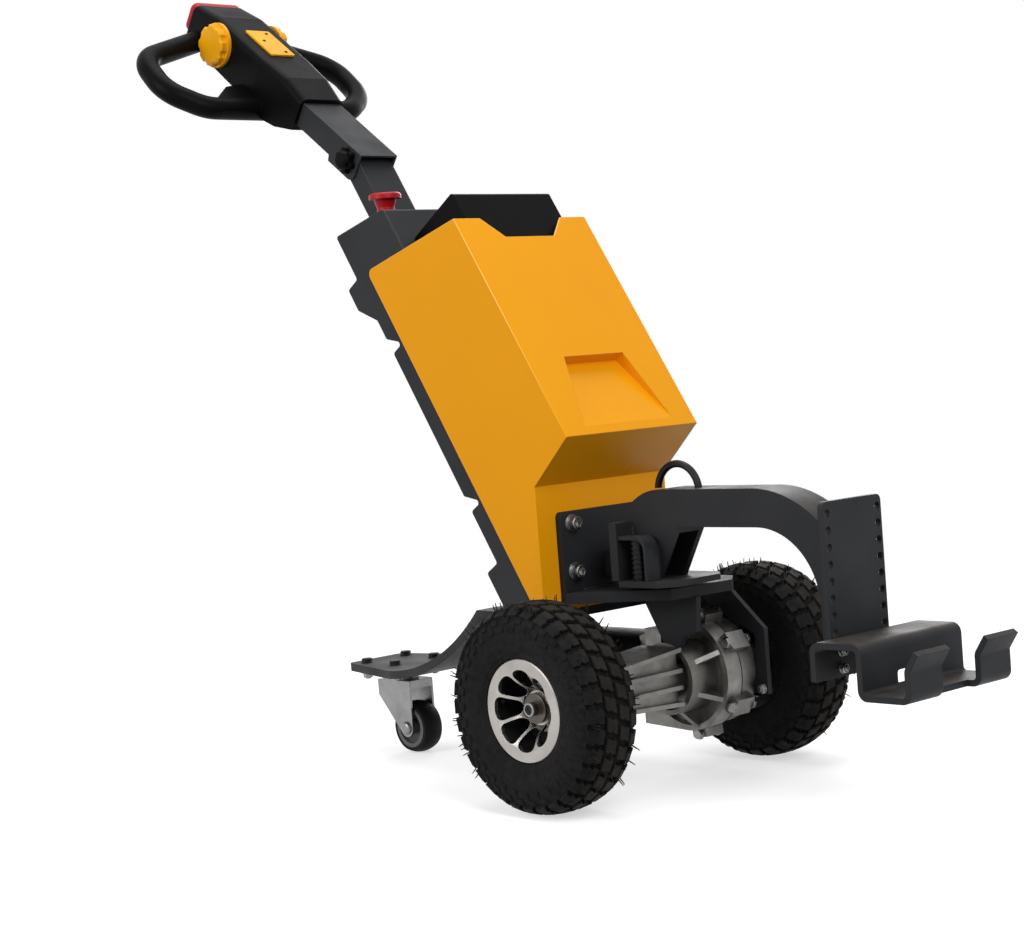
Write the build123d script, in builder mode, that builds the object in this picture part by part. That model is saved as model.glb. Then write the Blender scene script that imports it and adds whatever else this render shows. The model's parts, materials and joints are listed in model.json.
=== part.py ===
"""Walk-behind electric tow tractor: leaning body on two driven tyres, rear caster,
folding tiller and a gooseneck hitch with an adjustable towing cradle.

Millimetres. x points forward to the hitch, y to the vehicle's left, z up from the floor.
Lengths along x in the tables are counted from the drive axle.
"""
from build123d import *
from math import atan2, cos, radians, sin
import os

os.makedirs("parts", exist_ok=True)

# Layout of the whole vehicle
AXLE_X = 204.285        # drive axle ahead of the middle of the vehicle
TYRE_R = 139.5
TYRE_W = 92.0
TRACK = 428.2           # between the tyres' middle planes
SIDES = {"left": 1, "right": -1}

# Running fits
PIN_GAP = 0.1           # radial, round pins and shafts
SEAT_GAP = 0.3          # between sheet metal pieces that slide over each other

# Leaning body: seen from the side, lean coordinates start at the cover's knee,
# "out" square to the front sheet and "up" along it
LEAN = 32.1             # degrees back from upright
KNEE_X = -9.0
KNEE_Z = 484.0
COVER_W = 254.0
COVER_T = 2.0
COVER_DEPTH = 198.0     # square to the front sheet
COVER_FRONT_UP = 363.0  # knee to the top of the front sheet
COVER_REAR_UP = 421.0
COVER_CORNER_R = 9.0
COVER_BEND_R = 3.0
COVER_FOOT_X = -79.0
COVER_FOOT_Z = 418.0
NOTCH_TOP_W = 160.0
NOTCH_BASE_W = 94.0
NOTCH_DEPTH = 33.0
SCOOP_TOP_UP = 125.0    # pressed scoop in the front sheet, deepest at its top edge
SCOOP_LOW_UP = 13.0
SCOOP_DEPTH = 19.0
SCOOP_TOP_W = 114.0
SCOOP_LOW_W = 170.0

TRAY_T = 3.0
TRAY_OUT = -226.0       # rear edge of the tray's side flanges
TRAY_BACK_OUT = -205.0  # rear face of the back sheet
TRAY_EAR_OUT = -252.5
TRAY_TOP_UP = 504.8
TRAY_EAR_TOP_UP = 427.0
TRAY_EAR_H = 37.0
TRAY_FOOT_EAR_UP = -60.0
TRAY_NOTCH = 20.0
TRAY_CORNER_R = 4.0
TRAY_NOTCH_H = 25.0
TRAY_NOTCH_UPS = (295.0, 25.0)
PANEL_OUT = -115.0      # front face of the upper housing
PANEL_TOP_UP = 470.2
PANEL_FRONT_LEN = 150.0

BATTERY_SIDE_GAP = 34.0 # from the cover's side to the case
BATTERY_OUT = -10.0
BATTERY_UP = 417.0
BATTERY_LEN = 280.0
BATTERY_EDGE_R = 6.0

ESTOP_EDGE = 56.0       # from the cover's side to the button's middle
ESTOP_OUT = -172.0
ESTOP_BASE_R = 18.0
ESTOP_BASE_H = 11.0
ESTOP_STEM_R = 13.0
ESTOP_FLARE_R = 17.0
ESTOP_CAP_R = 24.0
ESTOP_CAP_H = 9.0
ESTOP_STEM_H = 24.0

# Floor plate, tail deck and caster
FLOOR_T = 12.0
FLOOR_Z = 246.0         # top of the floor plate
FLOOR_REAR_X = -205.0
DECK_Z = 141.0
DECK_REAR_X = -615.0
DECK_RAMP_X = -490.0    # where the ramp starts to rise
DECK_CREST_X = -222.0
DECK_WAIST_X = -470.0
DECK_REAR_W = 106.0
DECK_WAIST_W = 178.0
DECK_CORNER_R = 12.0
CASTER_X = -552.0
CASTER_TRAIL = 31.0
CASTER_R = 40.0
CASTER_W = 34.0
CASTER_PLATE_T = 4.0
CASTER_PLATE_X = 90.0
CASTER_PLATE_Y = 98.0
CASTER_BOLT_X = 69.0
CASTER_BOLT_Y = 78.0
CASTER_BOLT_D = 8.0
CASTER_RACE_R = 27.0
CASTER_RACE_H = 12.0
CASTER_FORK_T = 3.5
CASTER_SIDE_GAP = 3.0
CASTER_KING_R = 6.0
CASTER_AXLE_R = 5.0
CASTER_TREAD = 9.0
CASTER_CROWN = 4.0
CASTER_RING = 6.0
CASTER_HUB_R = 11.0
FORK_LEG_W = 76.0
FORK_LEG_H = 24.0
FORK_FOOT_R = 14.0
FORK_CROWN_H = 13.0

# Drive unit, on the wheel axle
DRUM_R = 78.0
DRUM_NEAR_Y = 57.0
DRUM_SPLIT_Y = 86.0
DRUM_FAR_Y = 119.0
DRUM_RIM_T = 8.0
DRUM_DISH = 13.0        # how far the drum's near face is dished
DRUM_STEP = 3.5         # the far half is this much smaller all round
NECK_R = 50.0
NECK_NEAR_Y = 17.0
NECK_BORE_R = 43.0
NECK_BORE = 16.0
NECK_RIB_ANGLES = (5, 62, 115, 168, 230)  # degrees forward from the top
NECK_RIB_IN = 12.0
RIB_T = 7.0
RIB_SINK = 2.0
LUG_ANGLES = (75, 33, -30, -85, 125)  # degrees up from forward
LUG_PITCH_R = 80.0
LUG_W = 26.0
LUG_H = 18.0
LUG_REACH = 17.0
LUG_HOLE_D = 8.0
BLOCK_X = (-48.0, -18.0)  # terminal block on the drum's near face
BLOCK_Z = (165.0, 206.0)
BLOCK_NEAR_Y = 32.0
TUBE_NEAR_Y = -158.0
TUBE_CORE_R = 27.0
TUBE_FIN_T = 6.0
TUBE_FIN_W = 76.0
TUBE_FIN_END_Y = 12.0
TUBE_FINS = (           # (height over the axle at the wheel, at the neck)
    (27.0, 43.0),
    (13.0, 15.0),
    (-8.0, -8.0),
    (-23.0, -31.0),
)
OUTER_TUBE_R = 30.0
MOTOR_R = 55.0
MOTOR_X = -84.0         # face of the motor on the gearbox
MOTOR_Y = 88.0
MOTOR_LEN = 135.0
MOTOR_PAD_LOW_Z = 66.0
MOTOR_PAD_TOP_Z = 190.0
MOTOR_CHAMFER = 7.0
SHAFT_R = 12.5
SHAFT_IN = 45.0         # length of wheel shaft inside its housing
HANGER_T = 8.0
HANGER_BAND = 18.0
HANGER_KNEE_X = 94.0
HANGER_KNEE_Z = 199.0
HANGER_FOOT_Z = 108.0
HANGER_TOP_X = 32.0
HANGER_TAB_X = 58.0
HANGER_TAB_H = 22.0
GUSSET_X = (-32.0, 4.0)
GUSSET_H = 34.0
INNER_HANGER_T = 9.0
INNER_HANGER_POINTS = (  # (x from the axle, z), below the tongue
    (68.0, 255.0),
    (63.0, 207.0),
    (40.0, 200.0),
    (25.0, 178.0),
    (6.0, 182.0),
    (-35.0, 255.0),
)

# Wheels
BEAD_R = 58.0
BEAD_W = 62.0
TREAD_EDGE_R = 125.0
TREAD_EDGE_W = 84.0
TREAD_H = 6.0
TREAD_SINK = 3.0
TREAD_BLOCKS = 20
TREAD_BLOCK_LEN = 30.0
TREAD_ROWS = (          # (from the middle plane, width, top radius, turn in block pitches)
    (11.0, 19.0, 138.7, 0.2),
    (-11.0, 19.0, 138.7, 0.7),
    (31.5, 17.0, 135.0, 0.7),
    (-31.5, 17.0, 135.0, 0.2),
)
BULGE_R = 100.0
RIM_LIP_R = 68.0
RIM_LIP_OUT = 37.0      # outer face of the rim from the tyre's middle plane
RIM_LIP_T = 4.0
RIM_WALL = 4.0
RIM_DISC_OUT = 8.0
RIM_DISC_T = 6.0
RIM_BOSS_R = 23.0
RIM_WINDOWS = 8
WINDOW_HALF = (         # (radius, half width) up one side of a teardrop window
    (25.5, 5.0),
    (42.0, 14.0),
    (49.5, 9.5),
)
WINDOW_R = 3.0
HUB_R = 20.0
HUB_OUT = 15.0
NUT_R = 9.0
NUT_OUT = 23.0
HUB_FLANGE = 12.0
HUB_END_GAP = 6.0

# Hitch
PLATE_T = 10.0
PLATE_W = 186.0
PLATE_TOP_Z = 380.0
PLATE_CORNER_R = 8.0
PLATE_BOLT_Y = 73.0
PLATE_BOLT_ZS = (364.0, 298.0)
PLATE_BOLT_D = 12.0
TONGUE_T = 15.0
TONGUE_Z = 270.0        # top of the tongue that the plate stands on
TONGUE_FRONT = (        # (x from the axle, y) along its free edge, left to right
    (38.0, 126.0),
    (72.0, 86.0),
    (62.0, 0.0),
    (60.0, -22.0),
    (-69.0, -93.0),
)
NECK_W = 56.0
NECK_WALL = 9.0
NECK_REAR_X = -30.0
NECK_TOP_Z = 404.0
NECK_FLAT_X = 222.0
NECK_DEPTH = 50.0
NECK_REAR_R = 85.0
NECK_END_TOP_Z = 335.0
NECK_LEG_X = 320.0
NECK_LEG_LOW_Z = 190.0
NECK_ARCH_X = 85.0
NECK_FOOT_X = 45.0
NECK_OUTER_X = 298.0
NECK_OUTER_Z = 382.0
NECK_BLOCK_W = 30.0
CROSS_X = -12.0         # plate across the gooseneck's rear leg
CROSS_T = 14.0
CROSS_W = 120.0
CROSS_TOP_Z = 362.0
SHELF_T = 8.0
SHELF_Z = 284.0         # top of the shelf under the gooseneck
SHELF_STEP_X = 2.0
SHELF_FRONT_X = 92.0
SHELF_W = 124.0
SHELF_CORNER = 20.0
SHELF_BOSS_R = 28.0
SHELF_BOSS_X = 20.0
RING_X = 66.0
RING_R = 37.0
RING_WIRE_R = 5.0
RING_SINK = 5.0
LATCH_Y = -46.0
LATCH_W = 24.0
LATCH_T = 5.0
LATCH_FRONT_X = 53.0
LATCH_TOP_Z = 344.0
LATCH_BEND_R = 14.0
SPRING_X = 28.0
SPRING_R = 10.0
SPRING_WIRE = 3.0
SPRING_PITCH = 6.5
HOLE_PLATE_T = 8.0
HOLE_PLATE_X = 357.0    # front face of the perforated plate
HOLE_PLATE_W = 114.0
HOLE_PLATE_TOP_Z = 388.5
HOLE_PLATE_LOW_Z = 174.0
HOLE_COL_Y = 49.0
HOLE_TOP_Z = 373.6
HOLE_PITCH = 21.0
HOLE_ROWS = 10
HOLE_D = 10.5
CRADLE_T = 8.0
CRADLE_W = 200.0
CRADLE_TOP_Z = 223.0
CRADLE_WALL_X = 435.0   # front face of the wall behind the trough
CRADLE_TROUGH = 62.0
CRADLE_LOW_Z = 155.0
CRADLE_HOOK_Z = 196.0
CRADLE_TIP_X = 512.0
CRADLE_TIP_Z = 218.0
CRADLE_BEND_R = 13.0
CRADLE_GAP_W = 76.0
CRADLE_WINDOW_W = 64.0
CRADLE_WINDOW_LOW_Z = 166.0
CRADLE_WINDOW_H = 17.0

# Tiller, turning on a bolt at the top of its post; along and above run with the upper arm
POST_W = 64.0
POST_D = 33.0
POST_UP = 330.0
PIVOT_UP = 646.0
ARM_RISE = 36.6         # degrees above level
EAR_T = 3.0
EAR_GAP = 0.5
ARM_TOP = 23.0
ARM_LOW = -15.0
EAR_LOW = -24.0
EAR_BACK = -25.0
EAR_END = 45.0
ARM_LEN = 138.0
BOLT_R = 5.0
KNOB_R = 15.0
KNOB_H = 18.0
KNOB_LOBES = 6
HEAD_W = 100.0
HEAD_NOSE_W = 83.0
HEAD_TAPER = 250.0      # where the head reaches its full width
HEAD_TOP = 40.0
HEAD_NOSE_TOP = 30.0
HEAD_FLARE = 190.0
HEAD_SHOULDER = 395.0
HEAD_END = 455.0
HEAD_BELLY = (          # (along, above) under the head, from its end to the arm
    (395.0, -32.0),
    (270.0, -36.0),
    (222.0, -47.0),
    (178.0, -40.0),
    (138.0, -24.0),
)
HEAD_EDGE_R = 12.0
LOOP_R = 17.5
LOOP_TILT = 43.0        # degrees above level
LOOP_ALONG = 300.0
LOOP_DROP = -31.5
LOOP_CORNERS = ((129, 35), (58, 191), (-26, 194), (-69, 140), (-69, 0))  # (up the loop's plane, out)
LOOP_BEND_R = 56.0
WEB_CORNERS = ((-69, 40), (-66, 128), (-24, 82), (-12, 40))  # (up the loop's plane, out)
WEB_T = 22.0
THUMB_ALONG = 365.0
THUMB_ABOVE = 4.0
THUMB_R = 36.0
THUMB_T = 18.0
THUMB_BASE_T = 6.0
THUMB_KNOB_R = 33.0
THUMB_FLUTES = 8
THUMB_FLUTE_R = 9.0
THUMB_FLUTE_OUT = 39.0
THUMB_EDGE = 2.5
SWITCH_ALONG = 304.0
SWITCH_LEN = 82.0
SWITCH_W = 46.0
SWITCH_T = 3.0
BELLY_LEN = 16.0
BELLY_W = 96.0
BELLY_LOW = -20.0
BELLY_TOP = 30.0
BELLY_EDGE_R = 7.0
BELLY_CORNER_R = 12.0
EAR_CORNER_R = 12.0

# Values worked out from the sizes above
LEAN_SIN = sin(radians(LEAN))
LEAN_COS = cos(radians(LEAN))
FLOOR_W = COVER_W - 2 * COVER_T
BATTERY_W = COVER_W - 2 * BATTERY_SIDE_GAP
ESTOP_Y = ESTOP_EDGE - COVER_W / 2
TRAY_W = COVER_W - 2 * COVER_T - 2 * SEAT_GAP
TRAY_IN_W = TRAY_W - 2 * TRAY_T
POST_OUT = TRAY_BACK_OUT - POST_D / 2
PLATE_X = COVER_FOOT_X + PLATE_T
TONGUE_LOW_Z = TONGUE_Z - TONGUE_T


def side_plane(y):
    """Upright plane along the vehicle: x from the drive axle, y up; grows to the right."""
    return Plane(origin=(AXLE_X, y, 0), x_dir=(1, 0, 0), z_dir=(0, -1, 0))


def cross_plane(x):
    """Upright plane across the vehicle: x to the left, y up; grows forward."""
    return Plane(origin=(AXLE_X + x, 0, 0), x_dir=(0, 1, 0), z_dir=(1, 0, 0))


def level_plane(z):
    """Level plane: x from the drive axle, y to the left; grows up."""
    return Plane(origin=(AXLE_X, 0, z), x_dir=(1, 0, 0), z_dir=(0, 0, 1))


def lean_plane(y):
    """Side plane in lean coordinates (out, up); grows to the right."""
    return Plane(origin=(AXLE_X + KNEE_X, y, KNEE_Z), x_dir=(LEAN_COS, 0, LEAN_SIN), z_dir=(0, -1, 0))


def lean_point(out, up):
    """Side view position (x from the axle, z) of a point in lean coordinates."""
    return KNEE_X + out * LEAN_COS - up * LEAN_SIN, KNEE_Z + out * LEAN_SIN + up * LEAN_COS


def lean_coords(x, z):
    """Lean coordinates of a side view position."""
    return (
        (x - KNEE_X) * LEAN_COS + (z - KNEE_Z) * LEAN_SIN,
        (z - KNEE_Z) * LEAN_COS - (x - KNEE_X) * LEAN_SIN,
    )


def lean_up_at(out, z):
    """How far up the lean a line at one out value crosses the height z."""
    return (z - KNEE_Z - out * LEAN_SIN) / LEAN_COS


PIVOT_X, PIVOT_Z = lean_point(POST_OUT, PIVOT_UP)
ARM_DIR = (-cos(radians(ARM_RISE)), 0, sin(radians(ARM_RISE)))
AXLE_LINE = Axis((AXLE_X, 0, TYRE_R), (0, 1, 0))


def tiller_plane(y):
    """Side plane of the upper arm: x along it from the pivot, y above it; grows to the left."""
    return Plane(origin=(AXLE_X + PIVOT_X, y, PIVOT_Z), x_dir=ARM_DIR, z_dir=(0, 1, 0))


def finish(builder, name):
    """Label a finished piece and write it."""
    builder.part.label = name
    export_step(builder.part, f"parts/{name}.step")


def runs_of(points):
    """Directions of a polyline's runs, as complex numbers."""
    path = [complex(*point) for point in points]
    return [(end - start) / abs(end - start) for start, end in zip(path, path[1:])]


def mitred(points, shift):
    """The polyline moved sideways to its left, with mitred corners."""
    runs = runs_of(points)
    moved = []
    for point, before, after in zip(points, runs[:1] + runs, runs + runs[-1:]):
        side_step = shift * 1j * (before + after) / (1 + (before.conjugate() * after).real)
        moved.append((point[0] + side_step.real, point[1] + side_step.imag))
    return moved


def bent_sheet(points, thickness, bend_r):
    """Outline of a folded sheet: points along one face, the sheet to the left of them."""
    runs = runs_of(points)
    turns = [(before.conjugate() * after).imag for before, after in zip(runs, runs[1:])]
    near_radii = [bend_r + thickness if turn > 0 else bend_r for turn in turns]
    far_radii = [bend_r if turn > 0 else bend_r + thickness for turn in turns]
    near = FilletPolyline(*points, radius=near_radii)
    far = FilletPolyline(*mitred(points, thickness), radius=far_radii)
    Line(near @ 0, far @ 0)
    Line(near @ 1, far @ 1)


# Tray: two notched side flanges joined by the back sheet
flange_knee_x = COVER_FOOT_X - COVER_T - SEAT_GAP
flange_knee_up = (PANEL_OUT * LEAN_COS + KNEE_X - flange_knee_x) / LEAN_SIN
flange_points = [
    (TRAY_OUT, TRAY_TOP_UP),
    (TRAY_OUT, TRAY_EAR_TOP_UP),
    (TRAY_EAR_OUT, TRAY_EAR_TOP_UP),
    (TRAY_EAR_OUT, TRAY_EAR_TOP_UP - TRAY_EAR_H),
    (TRAY_OUT, TRAY_EAR_TOP_UP - 2 * TRAY_EAR_H),
]
for notch_up in TRAY_NOTCH_UPS:
    flange_points += [
        (TRAY_OUT, notch_up + TRAY_NOTCH_H),
        (TRAY_OUT + TRAY_NOTCH, notch_up + TRAY_NOTCH_H / 4),
        (TRAY_OUT + TRAY_NOTCH, notch_up),
        (TRAY_OUT, notch_up),
    ]
flange_points += [
    (TRAY_OUT, TRAY_FOOT_EAR_UP),
    (TRAY_EAR_OUT, TRAY_FOOT_EAR_UP),
    (TRAY_EAR_OUT, lean_up_at(TRAY_EAR_OUT, FLOOR_Z)),
    lean_coords(flange_knee_x, FLOOR_Z),
    (PANEL_OUT, flange_knee_up),
    (PANEL_OUT, PANEL_TOP_UP),
]
panel_slope = (PANEL_TOP_UP - TRAY_TOP_UP) / (PANEL_OUT - TRAY_OUT)
panel_back_out = TRAY_BACK_OUT + 2 * TRAY_T
panel_back_up = TRAY_TOP_UP + panel_slope * (panel_back_out - TRAY_OUT)
with BuildPart() as chassis_tray:
    for flange_y in (TRAY_W / 2, TRAY_T - TRAY_W / 2):
        with BuildSketch(lean_plane(flange_y)) as flange:
            with BuildLine():
                Polyline(*flange_points, close=True)
            make_face()
            fillet(flange.vertices(), TRAY_CORNER_R)
        extrude(amount=TRAY_T)
    with BuildSketch(lean_plane(TRAY_W / 2)):
        with BuildLine():
            Polyline(
                (TRAY_BACK_OUT, panel_back_up - TRAY_T),
                (TRAY_BACK_OUT + TRAY_T, panel_back_up - TRAY_T),
                (TRAY_BACK_OUT + TRAY_T, lean_up_at(TRAY_BACK_OUT + TRAY_T, FLOOR_Z)),
                (TRAY_BACK_OUT, lean_up_at(TRAY_BACK_OUT, FLOOR_Z)),
                close=True,
            )
        make_face()
    extrude(amount=TRAY_W)
finish(chassis_tray, "chassis_tray")

# Control panel: top and front sheet of the upper housing, between the flanges
with BuildPart() as control_panel:
    with BuildSketch(lean_plane(TRAY_IN_W / 2)):
        with BuildLine():
            bent_sheet(
                [
                    (PANEL_OUT, PANEL_TOP_UP - PANEL_FRONT_LEN),
                    (PANEL_OUT, PANEL_TOP_UP),
                    (panel_back_out, panel_back_up),
                ],
                TRAY_T,
                TRAY_T,
            )
        make_face()
    extrude(amount=TRAY_IN_W)
finish(control_panel, "control_panel")

# Emergency stop: collar and mushroom button, upright on the panel's sloping top sheet
estop_x, estop_z = lean_point(ESTOP_OUT, TRAY_TOP_UP + panel_slope * (ESTOP_OUT - TRAY_OUT))
panel_pitch = radians(LEAN) + atan2(PANEL_TOP_UP - TRAY_TOP_UP, PANEL_OUT - TRAY_OUT)
panel_top = Plane(
    origin=(AXLE_X + estop_x, ESTOP_Y, estop_z),
    x_dir=(cos(panel_pitch), 0, sin(panel_pitch)),
    z_dir=(-sin(panel_pitch), 0, cos(panel_pitch)),
)
estop_plane = Plane(origin=(AXLE_X + estop_x, ESTOP_Y, estop_z + ESTOP_BASE_H))
estop_line = Axis((AXLE_X + estop_x, ESTOP_Y, estop_z), (0, 0, 1))
with BuildPart() as estop_collar:
    with BuildSketch(estop_plane):
        Circle(ESTOP_BASE_R)
    extrude(amount=-2 * ESTOP_BASE_H)
    chamfer(estop_collar.faces().sort_by(Axis.Z)[-1].edges(), ESTOP_BASE_H / 4)
    split(bisect_by=panel_top)
finish(estop_collar, "estop_collar")

with BuildPart() as estop_button:
    with BuildSketch(Plane(origin=estop_plane.origin, x_dir=(1, 0, 0), z_dir=(0, -1, 0))):
        with BuildLine():
            Polyline(
                (0, ESTOP_STEM_H + ESTOP_CAP_H),
                (0, 0),
                (ESTOP_STEM_R, 0),
                (ESTOP_STEM_R, ESTOP_STEM_H / 2),
                (ESTOP_FLARE_R, ESTOP_STEM_H),
                (ESTOP_CAP_R, ESTOP_STEM_H),
                (ESTOP_CAP_R, ESTOP_STEM_H + ESTOP_CAP_H / 2),
            )
            TangentArc(
                (ESTOP_CAP_R, ESTOP_STEM_H + ESTOP_CAP_H / 2),
                (ESTOP_CAP_R - ESTOP_CAP_H / 2, ESTOP_STEM_H + ESTOP_CAP_H),
                tangent=(0, 1),
            )
            Line(
                (ESTOP_CAP_R - ESTOP_CAP_H / 2, ESTOP_STEM_H + ESTOP_CAP_H),
                (0, ESTOP_STEM_H + ESTOP_CAP_H),
            )
        make_face()
    revolve(axis=estop_line)
finish(estop_button, "estop_button")

# Battery case: leans against the panel's front sheet, its top shows above the cover
with BuildPart() as battery_case:
    with BuildSketch(lean_plane(BATTERY_W / 2)):
        with Locations(((PANEL_OUT + BATTERY_OUT) / 2, BATTERY_UP - BATTERY_LEN / 2)):
            Rectangle(BATTERY_OUT - PANEL_OUT, BATTERY_LEN)
    extrude(amount=BATTERY_W)
    fillet(battery_case.edges().filter_by(Axis.Y).sort_by(Axis.Z)[-1], BATTERY_EDGE_R)
finish(battery_case, "battery_case")

# Cover: one folded sheet, front, undercut and two sides, open at the back, top and foot
cover_front = [
    lean_coords(COVER_FOOT_X, FLOOR_Z),
    lean_coords(COVER_FOOT_X, COVER_FOOT_Z),
    (0, 0),
    (0, COVER_FRONT_UP),
]
cover_side = cover_front + [
    (-COVER_DEPTH, COVER_REAR_UP),
    (-COVER_DEPTH, lean_up_at(-COVER_DEPTH, FLOOR_Z)),
]


def scoop(grow):
    """Wedge of the scoop, cut from a triangle in side view and a trapezium in front view."""
    top_up = SCOOP_TOP_UP + grow
    with BuildSketch(lean_plane(SCOOP_LOW_W / 2 + grow)) as side_view:
        with BuildLine():
            Polyline((0, SCOOP_LOW_UP - 2 * grow), (0, top_up), (-SCOOP_DEPTH - grow, top_up), close=True)
        make_face()
    with BuildSketch(front_sheet.offset(-2 * SCOOP_DEPTH)) as front_view:
        with BuildLine():
            Polyline(
                (-SCOOP_LOW_W / 2 - grow, SCOOP_LOW_UP - 2 * grow),
                (SCOOP_LOW_W / 2 + grow, SCOOP_LOW_UP - 2 * grow),
                (SCOOP_TOP_W / 2 + grow, top_up),
                (-SCOOP_TOP_W / 2 - grow, top_up),
                close=True,
            )
        make_face()
    wedge = extrude(side_view.sketch, amount=SCOOP_LOW_W + 2 * grow, mode=Mode.PRIVATE)
    return wedge & extrude(front_view.sketch, amount=2 * SCOOP_DEPTH, mode=Mode.PRIVATE)


front_sheet = Plane(
    origin=(AXLE_X + KNEE_X, 0, KNEE_Z), x_dir=(0, 1, 0), z_dir=(LEAN_COS, 0, LEAN_SIN)
)
with BuildPart() as body_cover:
    for sheet_y in (COVER_W / 2, COVER_T - COVER_W / 2):
        with BuildSketch(lean_plane(sheet_y)) as side_sheet:
            with BuildLine():
                Polyline(*cover_side, close=True)
            make_face()
            rear_corner = side_sheet.vertices().sort_by_distance((-COVER_DEPTH, COVER_REAR_UP, 0))[0]
            fillet(rear_corner, COVER_CORNER_R)
        extrude(amount=COVER_T)
    with BuildSketch(lean_plane(COVER_W / 2)):
        with BuildLine():
            Polyline(*cover_front, *reversed(mitred(cover_front, COVER_T)), close=True)
        make_face()
    extrude(amount=COVER_W)
    add(scoop(COVER_T))
    add(scoop(0), mode=Mode.SUBTRACT)
    notch_x, notch_z = lean_point(0, COVER_FRONT_UP)
    with BuildSketch(cross_plane(notch_x)):
        with BuildLine():
            Polyline(
                (NOTCH_TOP_W / 2, notch_z + COVER_T),
                (NOTCH_BASE_W / 2, notch_z - NOTCH_DEPTH * LEAN_COS),
                (-NOTCH_BASE_W / 2, notch_z - NOTCH_DEPTH * LEAN_COS),
                (-NOTCH_TOP_W / 2, notch_z + COVER_T),
                close=True,
            )
        make_face()
    extrude(amount=NOTCH_DEPTH, both=True, mode=Mode.SUBTRACT)
    long_side_edges = body_cover.edges().filter_by(
        lambda edge: edge.length > COVER_W / 4 and abs(abs(edge.center().Y) - COVER_W / 2) < PIN_GAP
    )
    front_folds = long_side_edges.filter_by(
        lambda edge: abs(lean_coords(edge.center().X - AXLE_X, edge.center().Z)[0]) < PIN_GAP
        or abs(edge.center().X - AXLE_X - COVER_FOOT_X) < PIN_GAP
    )
    fillet(front_folds, COVER_BEND_R - COVER_T)
finish(body_cover, "body_cover")

# Floor plate under the body, and the tail deck that drops in a long curve to the caster
with BuildPart() as floor_plate:
    with BuildSketch(level_plane(FLOOR_Z - FLOOR_T)):
        with Locations(((COVER_FOOT_X + FLOOR_REAR_X) / 2, 0)):
            Rectangle(COVER_FOOT_X - FLOOR_REAR_X, FLOOR_W)
    extrude(amount=FLOOR_T)
finish(floor_plate, "floor_plate")

ramp_run = DECK_CREST_X - DECK_RAMP_X
ramp_rise = FLOOR_Z - DECK_Z
ramp_r = (ramp_run**2 + ramp_rise**2) / (2 * ramp_rise)
ramp_turn = atan2(ramp_run, ramp_r - ramp_rise)
ramp_low_r = ramp_r + FLOOR_T
crest_low = (
    DECK_RAMP_X + ramp_low_r * sin(ramp_turn),
    DECK_Z + ramp_r - ramp_low_r * cos(ramp_turn),
)
with BuildPart() as caster_deck:
    with BuildSketch(side_plane(FLOOR_W / 2)):
        with BuildLine():
            Polyline(
                (DECK_RAMP_X, DECK_Z),
                (DECK_REAR_X, DECK_Z),
                (DECK_REAR_X, DECK_Z - FLOOR_T),
                (DECK_RAMP_X, DECK_Z - FLOOR_T),
            )
            RadiusArc((DECK_RAMP_X, DECK_Z - FLOOR_T), crest_low, -ramp_low_r)
            Polyline(
                crest_low,
                (FLOOR_REAR_X, FLOOR_Z - FLOOR_T),
                (FLOOR_REAR_X, FLOOR_Z),
                (DECK_CREST_X, FLOOR_Z),
            )
            RadiusArc((DECK_CREST_X, FLOOR_Z), (DECK_RAMP_X, DECK_Z), ramp_r)
        make_face()
    extrude(amount=FLOOR_W)
    with BuildSketch(level_plane(0)):
        with BuildLine():
            Polyline(
                (DECK_REAR_X, DECK_REAR_W / 2),
                (DECK_WAIST_X, DECK_WAIST_W / 2),
                (FLOOR_REAR_X, FLOOR_W / 2),
                (FLOOR_REAR_X, -FLOOR_W / 2),
                (DECK_WAIST_X, -DECK_WAIST_W / 2),
                (DECK_REAR_X, -DECK_REAR_W / 2),
                close=True,
            )
        face = make_face()
        fillet(face.vertices().sort_by(Axis.X)[:2], DECK_CORNER_R)
    extrude(amount=FLOOR_Z, mode=Mode.INTERSECT)
    with Locations(level_plane(DECK_Z)):
        with Locations((CASTER_X, 0)):
            with GridLocations(CASTER_BOLT_X, CASTER_BOLT_Y, 2, 2):
                Hole(CASTER_BOLT_D / 2)
finish(caster_deck, "caster_deck")

# Caster: bolted plate, swivelling fork and wheel, trailing forward at rest
CASTER_TOP_Z = DECK_Z - FLOOR_T
caster_race_z = CASTER_TOP_Z - CASTER_PLATE_T
fork_top_z = caster_race_z - CASTER_RACE_H
caster_axle_x = CASTER_X + CASTER_TRAIL
fork_in_w = CASTER_W + 2 * CASTER_SIDE_GAP
with BuildPart() as caster_plate:
    with BuildSketch(level_plane(caster_race_z)):
        with Locations((CASTER_X, 0)):
            RectangleRounded(CASTER_PLATE_X, CASTER_PLATE_Y, CASTER_BOLT_D)
    extrude(amount=CASTER_PLATE_T)
    with Locations(level_plane(CASTER_TOP_Z)):
        with Locations((CASTER_X, 0)):
            with GridLocations(CASTER_BOLT_X, CASTER_BOLT_Y, 2, 2):
                Hole(CASTER_BOLT_D / 2)
    with BuildSketch(level_plane(caster_race_z)):
        with Locations((CASTER_X, 0)):
            Circle(CASTER_KING_R)
    extrude(amount=-CASTER_RACE_H - CASTER_FORK_T - CASTER_KING_R)
finish(caster_plate, "caster_plate")

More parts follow.
